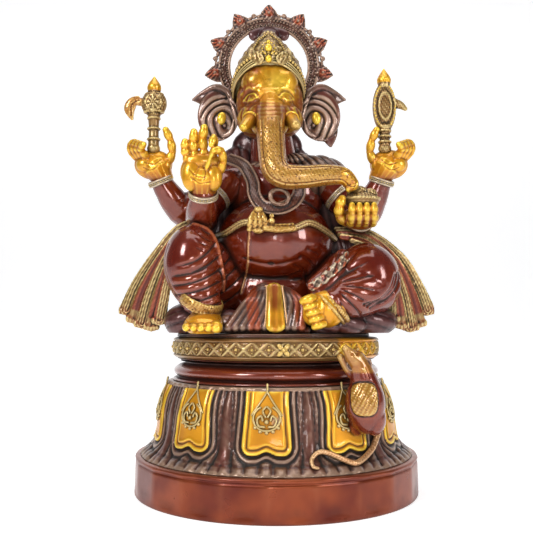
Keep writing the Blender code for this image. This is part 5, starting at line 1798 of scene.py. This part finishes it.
    def build_left_leg(self) -> None:
        """The folded left leg, its cloth drawn from the hip and its ornate hem."""
        clay = self.bench.clay()
        clay.ball((130, -70, 79), (48, 46, 53), segments=40, rings=26)
        clay.rod([(64, -16, 64), (98, -34, 78), (134, -62, 84)], [40, 44, 46], sides=28)
        clay.rod([(136, -72, 72), (105, -98, 56), (82, -113, 46)], [42, 33, 23], sides=28)
        clay.rod([(98, -74, 112), (78, -94, 92), (54, -108, 72)], [12, 11, 9], flat=0.7)
        clay.rod([(92, -84, 96), (80, -100, 78), (62, -112, 62)], [20, 18, 14], flat=0.8)
        skin = clay.fused("left_leg", 1.7, 4)
        x, _, z = skin.xyz
        front = skin.front()
        fan = np.arctan2(z - 70, x - 74)
        reach = np.hypot(x - 74, z - 70)
        zone = eased(reach, 12, 24) * eased(reach, 76, 46) * eased(x, 80, 92)
        skin.push(2.4 * (np.abs(np.sin(fan * 9.5 + 0.018 * reach)) ** 0.6 - 1.0) * zone * front)
        for k in range(3):
            arc = [(176 - 5 * k, 92 - 3 * k), (170 - 6 * k, 70 - 2 * k), (154 - 6 * k, 50),
                   (130 - 5 * k, 38 + 3 * k)]
            skin.groove(arc, 2.2, 2.2, front)
        skin.rest_on(6.0)
        self.bench.show(skin, "left_leg_cloth", Finish.RED, Slot.RED, ["left_leg"])
        clay = self.bench.clay()
        edge = [(101, -88, 116), (91, -99, 106), (77, -109, 93), (62, -117, 80), (47, -121, 70)]
        for shift in (0.0, 5.5):
            clay.rod(
                [(a + shift, b - 1.5, c - shift * 1.1) for a, b, c in edge], [2.6] * 5, sides=10
            )
        clay.rod([(a + 3, b - 0.5, c - 3) for a, b, c in edge], [5.5] * 5, flat=0.5)
        clay.rod([(104, -86, 112), (112, -92, 108), (124, -104, 104)], [3.4, 3, 1.5])
        skin = clay.fused("hem", 1.0, 2)
        x, y, z = skin.xyz
        skin.push(0.9 * waves(x, y, z, 5.0) + 0.4 * waves(x, y, z, 2.6))
        skin.gilt = eased(waves(x + 9, y, z, 7.0), 0.0, 0.3)
        self.bench.show(skin, "left_leg_hem", Finish.HEM, Slot.BROWN)

    def build_feet(self) -> None:
        """Both gold feet with their toes, nails and ankle bands."""
        clay = self.bench.clay()
        clay.rod([(-92, -96, 30), (-93, -112, 24), (-93, -134, 17)], [19, 24, 26], flat=0.5,
                 flat_axis=(0, 0, 1), sides=24)
        clay.rod([(-93, -104, 46), (-93, -110, 26)], [18, 18], sides=24)
        for k, radius in enumerate((5.8, 5.8, 6.2, 6.4, 8.2)):
            x, y = -113 + 9.6 * k, -149 - 2.6 * math.sin(k * 0.8)
            clay.rod([(x * 0.98 - 2, y + 16, 18), (x, y, 14), (x, y - 3, 13)],
                     [radius * 0.9, radius, radius * 0.8])
        skin = clay.fused("right_foot", 1.1, 3)
        skin.rest_on(5.6)
        x, _, z = skin.xyz
        for k in range(5):
            nail = hump(np.hypot(x + 113 - 9.6 * k, z - 17.5), 3.0) * skin.front()
            skin.push(-0.7 * nail)
        self.bench.show(skin, "right_foot_skin", Finish.GOLD, Slot.GOLD, ["right_foot"])
        clay = self.bench.clay()
        clay.ball((68, -119, 38), (27, 17, 25), (0, 22, -14), 32, 22)
        clay.ball((54, -127, 36), (16, 12, 21), (0, 22, 0))
        clay.rod([(96, -100, 48), (78, -114, 42)], [22, 22], sides=24)
        for k in range(5):
            x, z, size = 41 + 3.6 * k, 50 - 8.4 * k, 6.4 if k == 0 else 5.2
            clay.rod([(x + 9, -134, z + 2), (x + 3, -139, z), (x - 3, -138, z - 2)],
                     [size, size, size * 0.85], sides=16)
        skin = clay.fused("left_foot", 1.1, 3)
        skin.rest_on(5.6)
        self.bench.show(skin, "left_foot_skin", Finish.GOLD, Slot.GOLD, ["left_foot"])
        clay = self.bench.clay()
        clay.hoop((-98, -104, 48), (0.38, -0.35, 1), (27, 27), 3.6, 2.2)
        clay.hoop((-96, -106, 40), (0.38, -0.35, 1), (25, 25), 2.2, 1.2)
        for step, thick in ((0, 2.2), (6, 4.6)):
            arch = [(52, -108, 64), (63, -131, 53), (75, -138, 40), (87, -133, 26), (95, -108, 17)]
            clay.rod(
                [(x + step, y + step, z + 0.5 * step) for x, y, z in arch], [thick] * 5, sides=12
            )
        skin = clay.fused("anklets", 1.0, 2)
        skin.push(0.35 * waves(*skin.xyz, 2.4))
        self.bench.show(skin, "ankle_bands", Finish.TRUNK, Slot.BRASS)


@dataclass
class Drapery:
    """The ribbons that fall over both knees and the pleats in front."""

    bench: Bench

    def build(self) -> None:
        """Builds and shows all three falls."""
        right = [
            [(-96, -30, 168), (-136, -42, 158), (-170, -40, 118), (-199, -32, 74), (-214, -26, 38)],
            [(-98, -36, 165), (-134, -50, 152), (-164, -48, 112), (-190, -38, 66), (-203, -31, 26)],
            [
                (-100, -42, 160), (-130, -58, 146), (-157, -56, 106), (-177, -45, 60),
                (-189, -36, 19),
            ],
            [
                (-102, -48, 155), (-127, -64, 140), (-150, -62, 100), (-166, -51, 54),
                (-176, -41, 15),
            ],
            [(-104, -54, 150), (-125, -68, 134), (-146, -66, 94), (-157, -56, 50), (-163, -46, 24)],
        ]
        left = [
            [(92, -28, 156), (140, -34, 150), (184, -34, 116), (210, -30, 74), (225, -25, 38)],
            [(94, -34, 152), (138, -42, 145), (176, -42, 111), (199, -36, 66), (212, -30, 20)],
            [(96, -40, 148), (136, -50, 140), (168, -50, 106), (188, -43, 60), (198, -36, 14)],
            [(98, -46, 144), (134, -58, 134), (161, -58, 101), (178, -50, 56), (184, -42, 18)],
            [(112, -52, 138), (138, -64, 126), (156, -66, 98), (167, -58, 60), (169, -50, 27)],
        ]
        self.fall("right_drape", right, [11.5, 10.5, 11.5, 10.5, 10.5])
        self.fall("left_drape", left, [11.5, 10.5, 11.5, 10.5, 10.5])
        self.build_pleats()

    def fall(
        self, node: str, lines: Sequence[Sequence[Point]], widths: Sequence[float]
    ) -> None:
        """One fall of ribbons that flare into shells at their feet.

        Args:
            node: The CAD node that it stands for.
            lines: The middle line of each ribbon.
            widths: Half the width of each ribbon at its foot.
        """
        clay = self.bench.clay()
        for k, line in enumerate(lines):
            sizes = [widths[k] * share for share in (0.42, 0.5, 0.62, 0.78, 1.0)]
            deep = [(x, y + 3.0 * (k % 2), z) for x, y, z in line]
            clay.rod(deep, sizes, flat=0.42, flat_axis=(0, 1, 0.35), sides=20, per_span=8)
            foot = Vector(deep[-1])
            for step in range(-2, 3):
                spread = widths[k] * 0.42
                clay.ball((foot.x + spread * step, foot.y - 1, foot.z - 3 + 1.2 * abs(step)),
                          (spread * 0.8, 4.6, 5.5), segments=12, rings=8)
        skin = clay.fused(node, 1.25, 2)
        x, _, z = skin.xyz
        found = [line_distance(x, z, [(p[0], p[2]) for p in curve(line, 6)]) for line in lines]
        nearest = np.argmin(np.stack([away for away, _ in found]), axis=0)
        away = np.min(np.stack([away for away, _ in found]), axis=0)
        share = np.choose(nearest, [part for _, part in found])
        brass = nearest % 2 == 0
        rib = np.cos(away * 2 * math.pi / 3.6) * eased(share, 0.0, 0.1)
        skin.push(np.where(brass, 0.4 * rib, -0.5 * hump(away, 1.6)) * skin.front())
        skin.push(np.where(brass, 0.35, 0.1) * waves(*skin.xyz, 2.6))
        skin.gilt = np.where(brass, 0.0, 1.0) * eased(share, 0.97, 0.9)
        skin.tint = eased(share, 0.93, 1.0)
        self.bench.show(skin, node + "_ribbons", Finish.RIBBON, Slot.BRASS, [node])

    def build_pleats(self) -> None:
        """The pleats of the front cloth round a gold panel."""
        clay = self.bench.clay()
        for k in range(11):
            lean = (k - 3) / 7.0
            top = (-24 + 4.4 * k, -97, 70 - 1.2 * abs(k - 6))
            middle = (-38 + 7.6 * k, -114 - 2 * math.cos(lean), 46)
            hem = (-60 + 9.6 * k, -127 + 0.06 * (k - 6) ** 2, 14)
            clay.rod([top, middle, hem], [3.4, 4.8, 6.2], flat=1.0, sides=12, per_span=6)
        clay.rod([(-58, -118, 10), (-20, -122, 9), (24, -122, 9), (44, -116, 10)], [5, 5, 5, 5])
        clay.ball((-8, -90, 44), (32, 18, 32)).ball((-62, -112, 18), (14, 13, 13))
        skin = clay.fused("pleats", 1.2, 3)
        skin.rest_on(5.6)
        x, _, z = skin.xyz
        skin.tint = 0.5 + 0.5 * np.sin(x / 5.0 + z / 40.0)
        skin.gilt = skin.tint * eased(x, -52, -36)
        self.bench.show(skin, "front_cloth", Finish.FOLDS, Slot.BROWN, ["front_pleats"])
        clay = self.bench.clay()
        clay.rod(
            [(0, -112, 68), (1, -123, 46), (2, -134, 15)], [9.5, 11.0, 13.0], flat=0.36, sides=20,
            per_span=8,
        )
        skin = clay.fused("panel", 1.0, 3)
        x, _, z = skin.xyz
        skin.push(-0.9 * hump(x - 1, 4.0) * skin.front())
        skin.tint = eased(z, 26, 44)
        self.bench.show(skin, "front_panel", Finish.GOLD, Slot.GOLD)
        clay = self.bench.clay()
        clay.rod([(11, -111, 69), (14, -121, 46), (17, -131, 15)], [1.5] * 3, sides=10)
        clay.rod([(-10, -112, 69), (-10, -122, 46), (-12, -132, 15)], [1.2] * 3, sides=10)
        clay.rod([(-11, -110, 69), (0, -112, 70), (12, -109, 69)], [1.5] * 3, sides=10)
        self.bench.show(clay.plain("panel_edges"), "panel_edges", Finish.COPPER, Slot.BROWN)


@dataclass
class Arms:
    """Four arms, four hands and what they hold."""

    bench: Bench

    def build(self) -> None:
        """Builds and shows them all."""
        self.build_upper(-1, "right")
        self.build_upper(1, "left")
        self.build_lower_right()
        self.build_lower_left()
        self.build_raised(-1, -177, "right")
        self.build_raised(1, 171, "left")
        self.build_blessing()
        self.build_bowl_hand()
        self.build_bowl()
        self.build_axe()
        self.build_noose()

    def sleeve(
        self, node: str, parts: Sequence[tuple[Sequence[Point], Sequence[float]]],
        bands: Sequence[tuple],
    ) -> None:
        """One arm with soft folds at the elbow, and its bands.

        Args:
            node: The CAD node that it stands for.
            parts: The path and radii of upper arm and forearm.
            bands: Centre, axis and radius of each band.
        """
        clay = self.bench.clay()
        for path, radii in parts:
            clay.rod(path, radii, sides=26, per_span=6)
        skin = clay.fused(node, 1.5, 5)
        elbow = np.array(parts[0][0][-1], float)
        away = np.linalg.norm(skin.points - elbow, axis=1)
        skin.push(
            0.9 * (np.abs(np.sin(away / 4.6)) ** 0.6 - 1) * eased(away, 34, 24) * eased(away, 8, 18)
        )
        skin.push(0.2 * waves(*skin.xyz, 10.0))
        self.bench.show(skin, node + "_skin", Finish.RED, Slot.RED, [node])
        clay = self.bench.clay()
        beads = self.bench.clay()
        for centre, axis, radius in bands:
            for lift, thick in ((-2.8, 1.6), (2.8, 1.6), (0.0, 1.0)):
                spot = Vector(centre) + Vector(axis).normalized() * lift
                clay.hoop(spot, axis, (radius, radius), thick)
            turn = Vector((0, 0, 1)).rotation_difference(Vector(axis))
            for k in range(26):
                lean = 2 * math.pi * k / 26
                side = turn @ Vector((math.cos(lean), math.sin(lean), 0)) * (radius + 0.6)
                beads.bead(Vector(centre) + side, 1.5)
        self.bench.show(clay.plain(node + "_band"), node + "_bands", Finish.PALE, Slot.BROWN)
        self.bench.show(beads.plain(node + "_bead"), node + "_band_beads", Finish.BRASS, Slot.BRASS)

    def build_upper(self, side: int, name: str) -> None:
        """A raised arm behind the shoulder."""
        if side < 0:
            parts = [([(-74, 18, 228), (-108, 16, 206), (-138, 12, 191)], [26, 25, 23]),
                     ([(-139, 12, 190), (-152, 5, 206), (-168, -4, 230)], [23, 21.5, 16.5])]
            bands = [
                ((-170, -5, 233), (-0.4, -0.3, 1), 18.0), ((-106, 16, 207), (-1, 0, -0.6), 25.5)
            ]
        else:
            parts = [([(88, 18, 228), (118, 16, 206), (144, 12, 189)], [26, 25, 23]),
                     ([(144, 12, 189), (152, 5, 206), (162, -4, 230)], [23, 21.5, 16.5])]
            bands = [((164, -5, 233), (0.3, -0.3, 1), 18.0), ((117, 16, 207), (1, 0, -0.6), 25.5)]
        self.sleeve(f"upper_{name}_arm", parts, bands)

    def build_lower_right(self) -> None:
        """The forearm of the hand that blesses."""
        parts = [([(-70, -14, 224), (-96, -30, 196), (-104, -46, 173)], [25, 25, 24]),
                 ([(-104, -46, 173), (-101, -76, 177), (-97, -97, 193)], [24, 22, 18])]
        bands = [
            ((-97, -98, 196), (0.1, -0.75, 1), 19.0), ((-88, -24, 207), (-0.6, -0.4, -0.8), 25.5)
        ]
        self.sleeve("lower_right_arm", parts, bands)

    def build_lower_left(self) -> None:
        """The forearm of the hand that holds the sweets."""
        parts = [([(84, -14, 224), (108, -20, 197), (122, -30, 177)], [25, 25, 24]),
                 ([(122, -30, 177), (126, -52, 170), (124, -72, 168)], [24, 22, 18])]
        bands = [((123, -76, 168), (0, -1, 0), 19.5), ((100, -18, 208), (0.7, -0.2, -0.8), 25.5)]
        self.sleeve("lower_left_arm", parts, bands)

    def jointed(self, clay: Clay, path: Sequence[Point], radius: float) -> None:
        """Adds a finger of rounded segments along a path of its joints."""
        for near, far in zip(path, path[1:]):
            near_v, far_v = Vector(near), Vector(far)
            middle = (near_v + far_v) / 2
            length = (far_v - near_v).length / 2
            turn = Vector((0, 0, 1)).rotation_difference(far_v - near_v).to_euler()
            clay.ball(middle, (radius, radius, length + radius * 0.35),
                      [math.degrees(a) for a in turn], 14, 10)
            radius *= 0.95
        clay.rod(path, [radius * 0.82] * len(path), sides=12, per_span=3)

    def show_hand(self, clay: Clay, node: str, lines: Sequence[Sequence[Point]]) -> None:
        """Fuses a hand, cuts its palm lines and shows it."""
        skin = clay.fused(node, 1.0, 5)
        front = skin.front()
        for line in lines:
            skin.groove(line, 0.9, 0.8, front)
        wrist = skin.points[:, 2].min()
        skin.tint = eased(skin.points[:, 2], wrist + 34, wrist + 8)
        self.bench.show(skin, node + "_skin", Finish.GOLD, Slot.GOLD, [node])

    def build_raised(self, o: int, x: float, name: str) -> None:
        """A hand with its thumb up and fingers curled round what it holds.

        Args:
            o: -1 for the idol's right hand, 1 for the left.
            x: Its place.
            name: The side's name.
        """
        clay = self.bench.clay()
        clay.ball((x + 4 * o, -6, 258), (29, 15, 23), segments=24, rings=16)
        clay.rod([(x - 10 * o, -5, 238), (x - 2 * o, -6, 252)], [16.5, 22])
        clay.ball((x + 14 * o, -14, 256), (15, 10, 12)).ball((x - 12 * o, -12, 256), (12, 9, 13))
        self.jointed(clay, [(x - 18 * o, -10, 258), (x - 26 * o, -13, 276), (x - 23 * o, -16, 293),
                            (x - 16 * o, -19, 308)], 7.4)
        for k in range(4):
            reach = (18 + 5.5 * (3 - k)) * o
            lean = (2 * (3 - k) + 3) * o
            self.jointed(
                clay,
                [
                    (x + 0.62 * reach, -6 - 2 * k, 264),
                    (x + reach + 0.4 * lean, -6 - 6.5 * k, 276),
                    (x + reach + 0.5 * lean, -10 - 6.5 * k, 288 - 3 * k),
                    (x + reach - 4 * o, -16 - 6.5 * k, 291 - 3 * k),
                ],
                6.4,
            )
        lines = [
            [(x - 10 * o, 262), (x, 254), (x + 14 * o, 258)],
            [(x - 6 * o, 252), (x + 4 * o, 246), (x + 16 * o, 250)],
        ]
        self.show_hand(clay, f"upper_{name}_hand", lines)

    def build_blessing(self) -> None:
        """The open hand: three jointed fingers, and the forefinger meeting the thumb."""
        y = -108
        clay = self.bench.clay()
        clay.ball((-99, -105, 226), (29.5, 12, 30), segments=28, rings=18)
        clay.ball((-112, -112, 220), (14, 9, 22)).ball((-82, -113, 216), (12, 10, 18))
        clay.ball((-98, -110, 240), (26, 9, 12))
        clay.rod([(-97, -98, 200), (-96, -103, 214)], [18, 22])
        fingers = [
            ([(-116, y, 238), (-120, y - 3, 248), (-122, y - 5, 257), (-121, y - 7, 266)], 6.8),
            ([(-106, y, 241), (-109, y - 3, 254), (-110, y - 5, 266), (-109, y - 8, 279)], 7.4),
            ([(-95, y, 242), (-96, y - 3, 256), (-97, y - 6, 270), (-95, y - 8, 285)], 7.4),
            ([(-85, y, 240), (-80, y - 9, 260), (-81, y - 18, 270), (-84, y - 22, 258)], 6.0),
            ([(-76, y, 222), (-68, y - 8, 238), (-71, y - 17, 252), (-80, y - 22, 250)], 6.4),
            ([(-92, y - 12, 226), (-86, y - 18, 240), (-80, y - 23, 252)], 3.4),
        ]
        for path, radius in fingers:
            self.jointed(clay, path, radius)
        lines = [[(-114, 226), (-104, 216), (-92, 215)], [(-112, 216), (-100, 207), (-86, 209)],
                 [(-96, 232), (-92, 222), (-94, 212)]]
        self.show_hand(clay, "lower_right_hand", lines)

    def build_bowl_hand(self) -> None:
        """The hand under the sweets."""
        clay = self.bench.clay()
        clay.ball((119, -92, 164), (27, 19, 16), segments=24, rings=16)
        self.jointed(clay, [(98, -94, 158), (89, -104, 167), (89, -109, 178), (93, -109, 188)], 8.0)
        for k in range(4):
            x = 105 + 10 * k
            self.jointed(
                clay, [(x, -96, 155), (x + 0.5, -111, 157), (x + 1, -115, 167), (x + 1, -113, 179)],
                6.2,
            )
        self.show_hand(clay, "lower_left_hand", [])

    def build_bowl(self) -> None:
        """The pile of sweets in its bowl."""
        clay = self.bench.clay()
        clay.ball((122, -94, 188), (24, 20, 13)).ball((118, -98, 200), (11, 10, 8))
        clay.ball((133, -96, 197), (10, 9, 8)).ball((110, -92, 197), (9, 9, 7))
        clay.hoop((122, -94, 190), (0, 0, 1), (23.5, 19.5), 2.4)
        skin = clay.fused("bowl", 1.0, 2)
        skin.push(0.7 * waves(*skin.xyz, 2.4) * eased(skin.points[:, 2], 186, 192))
        self.bench.show(skin, "bowl_of_sweets", Finish.BRASS, Slot.BRASS, ["sweet_bowl"])

    def held_shaft(self, clay: Clay, x: float, low: float, high: float) -> None:
        """Adds the grip of a held emblem."""
        clay.rod(
            [(x, -13, low), (x, -13, (low + high) / 2), (x, -13, high)], [8.5, 7.6, 10], sides=18
        )
        for lift in (0.18, 0.5, 0.82):
            z = low + lift * (high - low)
            clay.hoop((x, -13, z), (0, 0, 1), (9.0, 9.0), 1.6)
        clay.ball((x, -13, low - 5), (10, 9, 8))

    def build_axe(self) -> None:
        """The axe with its ribbed hub, leaf blade and bud."""
        x, y = -180, -13
        clay = self.bench.clay()
        self.held_shaft(clay, x, 286, 336)
        clay.ball((x, y, 350), (19.5, 12.5, 20.5), segments=32, rings=20)
        clay.hoop((x, y, 337), (0, 0, 1), (14, 10), 2.2).hoop((x, y, 364), (0, 0, 1), (13, 9), 2.0)
        clay.rod([(x, y, 366), (x, y, 377), (x, y, 391)], [9, 10.5, 1.6], sides=18)
        skin = clay.fused("axe", 1.0, 2)
        px, _, pz = skin.xyz
        swirl = np.arctan2(pz - 350, px - x)
        disc = eased(np.hypot(px - x, pz - 350), 21, 17)
        skin.push((0.5 * waves(px, px, pz, 2.6) + 0.35 * np.cos(swirl * 8)) * disc * skin.front())
        skin.push(0.9 * hump(np.hypot(px - x, pz - 350) - 12.0, 1.8) * skin.front())
        skin.gilt = eased(pz, 366, 372)
        self.bench.show(skin, "axe_body", Finish.BRASS, Slot.BRASS, ["axe"])
        clay = self.bench.clay()
        clay.rod([(x - 14, y, 352), (x - 24, y, 353)], [7, 6], flat=0.6, sides=20)
        clay.rod(
            [(x - 24, y, 358), (x - 33, y, 352), (x - 37, y, 341), (x - 33, y, 326)],
            [5, 8, 8.5, 2.5], flat=0.42, sides=20,
        )
        skin = clay.fused("blade", 1.0, 2)
        skin.groove([(x - 22, 355), (x - 33, 348), (x - 34, 332)], 1.2, 0.9)
        skin.tint[:] = 0.8
        self.bench.show(skin, "axe_blade", Finish.TRUNK, Slot.GOLD)

    def build_noose(self) -> None:
        """The noose, drawn as a double beaded loop with a spout and a bud."""
        x, y = 168, -13
        clay = self.bench.clay()
        self.held_shaft(clay, x, 286, 312)
        clay.ball((x, y, 344), (18, 10, 39), segments=32, rings=22)
        clay.rod([(x + 12, y, 352), (x + 24, y - 2, 347), (x + 31, y - 4, 341)], [8, 6, 3.4])
        clay.rod([(x, y, 378), (x, y, 388), (x, y, 403)], [9, 10.5, 1.6], sides=18)
        skin = clay.fused("noose", 1.0, 2)
        px, _, pz = skin.xyz
        inside = np.hypot((px - x) / 18, (pz - 344) / 39)
        front = skin.front()
        skin.push((1.6 * hump(inside - 0.84, 0.09) + 1.4 * hump(inside - 0.5, 0.08)) * front)
        skin.push(-0.8 * hump(inside - 0.67, 0.08) * front + 0.4 * waves(px, px, pz, 2.6) * front)
        skin.gilt = eased(pz, 378, 384)
        self.bench.show(skin, "noose_body", Finish.BRASS, Slot.BRASS, ["noose"])
        clay = self.bench.clay()
        for k in range(40):
            lean = 2 * math.pi * k / 40
            clay.bead((x + 15.6 * math.sin(lean), y - 6.6, 344 + 33.5 * math.cos(lean)), 1.5)
        self.bench.show(clay.plain("noose_beads"), "noose_beads", Finish.GOLD, Slot.GOLD)


@dataclass
class Mouse:
    """The mouse that climbs the pedestal, with its blanket and tail."""

    bench: Bench
    place: Point = (120.0, -148.0)

    def build(self) -> None:
        """Builds and shows the mouse."""
        x, y = self.place
        clay = self.bench.clay()
        clay.ball((x - 4, y, -84), (26, 24, 38), segments=32, rings=22)
        clay.rod(
            [(x - 2, y + 2, -66), (x - 9, y, -42), (x - 15, y - 3, -28)], [20, 16, 13], sides=22
        )
        clay.rod(
            [(x - 14, y - 4, -32), (x - 22, y - 9, -22), (x - 30, y - 13, -12)], [12, 9, 4.2],
            sides=20,
        )
        clay.rod([(x - 20, y, -46), (x - 29, y - 1, -34), (x - 35, y - 2, -24)], [7, 5.5, 4.5])
        clay.ball((x + 7, y + 1, -102), (16, 18, 22)).ball((x - 14, y + 4, -110), (12, 13, 15))
        skin = clay.fused("mouse", 1.3, 3)
        px, _, pz = skin.xyz
        front = skin.front()
        blanket = (np.abs((px - x + 7) / 17.0) ** 3 + np.abs((pz + 76) / 21.0) ** 3) ** (1 / 3)
        cloth = eased(blanket, 1.05, 0.95) * front
        skin.push(1.2 * cloth)
        weave = np.cos(px * 1.1 + pz * 0.5) * np.cos(pz * 1.1)
        skin.push(0.45 * weave * cloth)
        skin.push(-0.9 * hump(blanket - 1.0, 0.07) * front)
        skin.groove([(x - 2, -50), (x - 7, -38)], 1.6, -0.8)
        head = eased(pz, -52, -34)
        skin.gilt = np.maximum(cloth, head)
        skin.tint = head
        for ex in (-22, -15):
            skin.push(-0.8 * hump(np.hypot(px - x - ex, pz + 20), 1.8) * front)
        self.bench.show(skin, "mouse_skin", Finish.MOUSE, Slot.RED, ["mouse"])
        clay = self.bench.clay()
        for ex, ey, ez in ((-2, -6, -33), (-22, -8, -34)):
            clay.ball((x + ex, y + ey, ez), (6.2, 2.8, 7.2), (0, 20, 0), 18, 12)
            clay.hoop((x + ex, y + ey - 1.6, ez), (0, 1, 0), (5.6, 6.4), 1.2)
        skin = clay.fused("mouse_ears", 0.8, 2)
        self.bench.show(skin, "mouse_ears", Finish.BROWN, Slot.BROWN)
        self.build_tail()

    def build_tail(self) -> None:
        """The tail that curls along the bell."""
        pedestal = Pedestal(self.bench)
        deck = self.bench.place.deck
        path = []
        for tx, floor in ((140, 104), (134, 90), (124, 76), (104, 66), (88, 70), (68, 79), (55, 81),
                          (46, 74), (47, 66), (53, 64)):
            radius = float(pedestal.skirt_radius(np.array(float(floor)))) + 3.4
            row_x = tx + self.bench.place.shift
            path.append((tx, -math.sqrt(max(radius**2 - row_x**2, 1.0)), floor - deck))
        clay = self.bench.clay()
        clay.rod(path, [4.4, 4.2, 4.0, 3.8, 3.6, 3.4, 3.1, 2.8, 2.5, 1.8], sides=12, per_span=6)
        skin = clay.fused("tail", 0.9, 2)
        skin.push(0.16 * waves(*skin.xyz, 2.2))
        self.bench.show(skin, "mouse_tail_curl", Finish.COPPER, Slot.BRASS, ["mouse_tail"])


@dataclass
class Hardware:
    """The hidden tie rod, bar, nuts and screws, which keep their CAD shapes."""

    names: tuple[str, ...] = (
        "tie_rod", "cross_bar", "upper_nut", "lower_nut", "washer",
        "plinth_screw_1", "plinth_screw_2", "plinth_screw_3", "plinth_screw_4",
    )

    def build(self) -> None:
        """Gives each node a dull machined steel."""
        steel = SteelFinish().material()
        for name in self.names:
            node = bpy.data.objects[name]
            node.data.materials.clear()
            node.data.materials.append(steel)


@dataclass
class Studio:
    """Floor, soft lights and the camera."""

    camera_m: Point = (-0.014, -1.08, 0.242)
    tilt: float = 4.41
    lens: float = 48.63

    def light(
        self, name: str, spot: Point, aim: Point, size: tuple[float, float], power: float
    ) -> None:
        """Adds one soft light.

        Args:
            name: Its name.
            spot: Where it stands, in metres.
            aim: Where it points.
            size: Its width and height.
            power: In watts.
        """
        data = bpy.data.lights.new(name, "AREA")
        data.shape, data.size, data.size_y = "RECTANGLE", *size
        data.energy = power
        lamp = bpy.data.objects.new(name, data)
        lamp.location = spot
        lamp.rotation_mode = "QUATERNION"
        lamp.rotation_quaternion = (Vector(aim) - Vector(spot)).to_track_quat("-Z", "Y")
        bpy.context.scene.collection.objects.link(lamp)

    def build(self) -> None:
        """Builds the stage and sets the camera."""
        scene = bpy.context.scene
        bm = bmesh.new()
        profile = [bm.verts.new((-6, -4, 0)), bm.verts.new((-6, 1.4, 0))]
        bm.edges.new(profile)
        bent = bmesh.ops.spin(bm, geom=[profile[1]], cent=(-6, 1.4, 1.6), axis=(1, 0, 0),
                              angle=math.pi / 2, steps=24)["geom_last"]
        wall = bmesh.ops.extrude_vert_indiv(bm, verts=bent)["verts"]
        bmesh.ops.translate(bm, vec=(0, 0, 4), verts=wall)
        across = bmesh.ops.extrude_edge_only(bm, edges=list(bm.edges))["geom"]
        far = [item for item in across if isinstance(item, bmesh.types.BMVert)]
        bmesh.ops.translate(bm, vec=(12, 0, 0), verts=far)
        floor = bpy.data.objects.new("floor", mesh_from(bm, "floor"))
        scene.collection.objects.link(floor)
        paper = bpy.data.materials.new("paper")
        paper.use_nodes = True
        shader = paper.node_tree.nodes["Principled BSDF"]
        net = Net(paper.node_tree)
        tint = net.span(net.noise(30.0, 2.0), 0.0, 1.0, 0.0, 1.0)
        net.link(
            net.mix(tint, (0.86, 0.86, 0.86, 1), (0.88, 0.88, 0.88, 1)), shader.inputs["Base Color"]
        )
        shader.inputs["Roughness"].default_value = 0.9
        shader.inputs["Emission Color"].default_value = (1, 1, 1, 1)
        shader.inputs["Emission Strength"].default_value = 0.55
        floor.data.shade_smooth()
        floor.data.materials.append(paper)
        floor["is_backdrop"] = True
        self.light("key", (-1.3, -1.6, 1.5), (0, 0, 0.35), (0.5, 0.9), 27)
        self.light("fill", (1.5, -1.3, 0.9), (0, 0, 0.35), (0.4, 0.9), 13)
        self.light("top", (0, -0.3, 2.0), (0, 0, 0.4), (1.4, 1.0), 12)
        self.light("front", (0.1, -2.2, 0.5), (0, 0, 0.3), (0.4, 0.4), 6)
        world = bpy.data.worlds.new("studio")
        world.use_nodes = True
        scene.world = world
        tree = world.node_tree
        back = tree.nodes["Background"]
        path = tree.nodes.new("ShaderNodeLightPath")
        sky = Net(tree)
        sky.link(sky.mix(path.outputs["Is Camera Ray"], (0.11, 0.11, 0.12, 1), (1.0, 1.0, 1.0, 1)),
                 back.inputs["Color"])
        camera = bpy.data.objects.new("camera", bpy.data.cameras.new("camera"))
        camera.data.lens, camera.data.sensor_width = self.lens, 36.0
        camera.location = self.camera_m
        camera.rotation_euler = (math.radians(90 + self.tilt), 0, 0)
        scene.collection.objects.link(camera)
        scene.camera = camera
        scene.view_settings.view_transform = "Standard"


def main() -> None:
    """Builds everything in order."""
    logging.basicConfig(level=logging.INFO, format="%(message)s")
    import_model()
    low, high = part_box("base_plate")
    place = Place((low.x + high.x) / 2 / MM, low.z / MM)
    bench = Bench(place)
    Pedestal(bench).build()
    Head(bench).build()
    Crown(bench).build()
    Halo(bench).build()
    Body(bench).build()
    Drapery(bench).build()
    Arms(bench).build()
    Mouse(bench).build()
    Hardware().build()
    Studio().build()


if __name__ == "__main__":
    main()
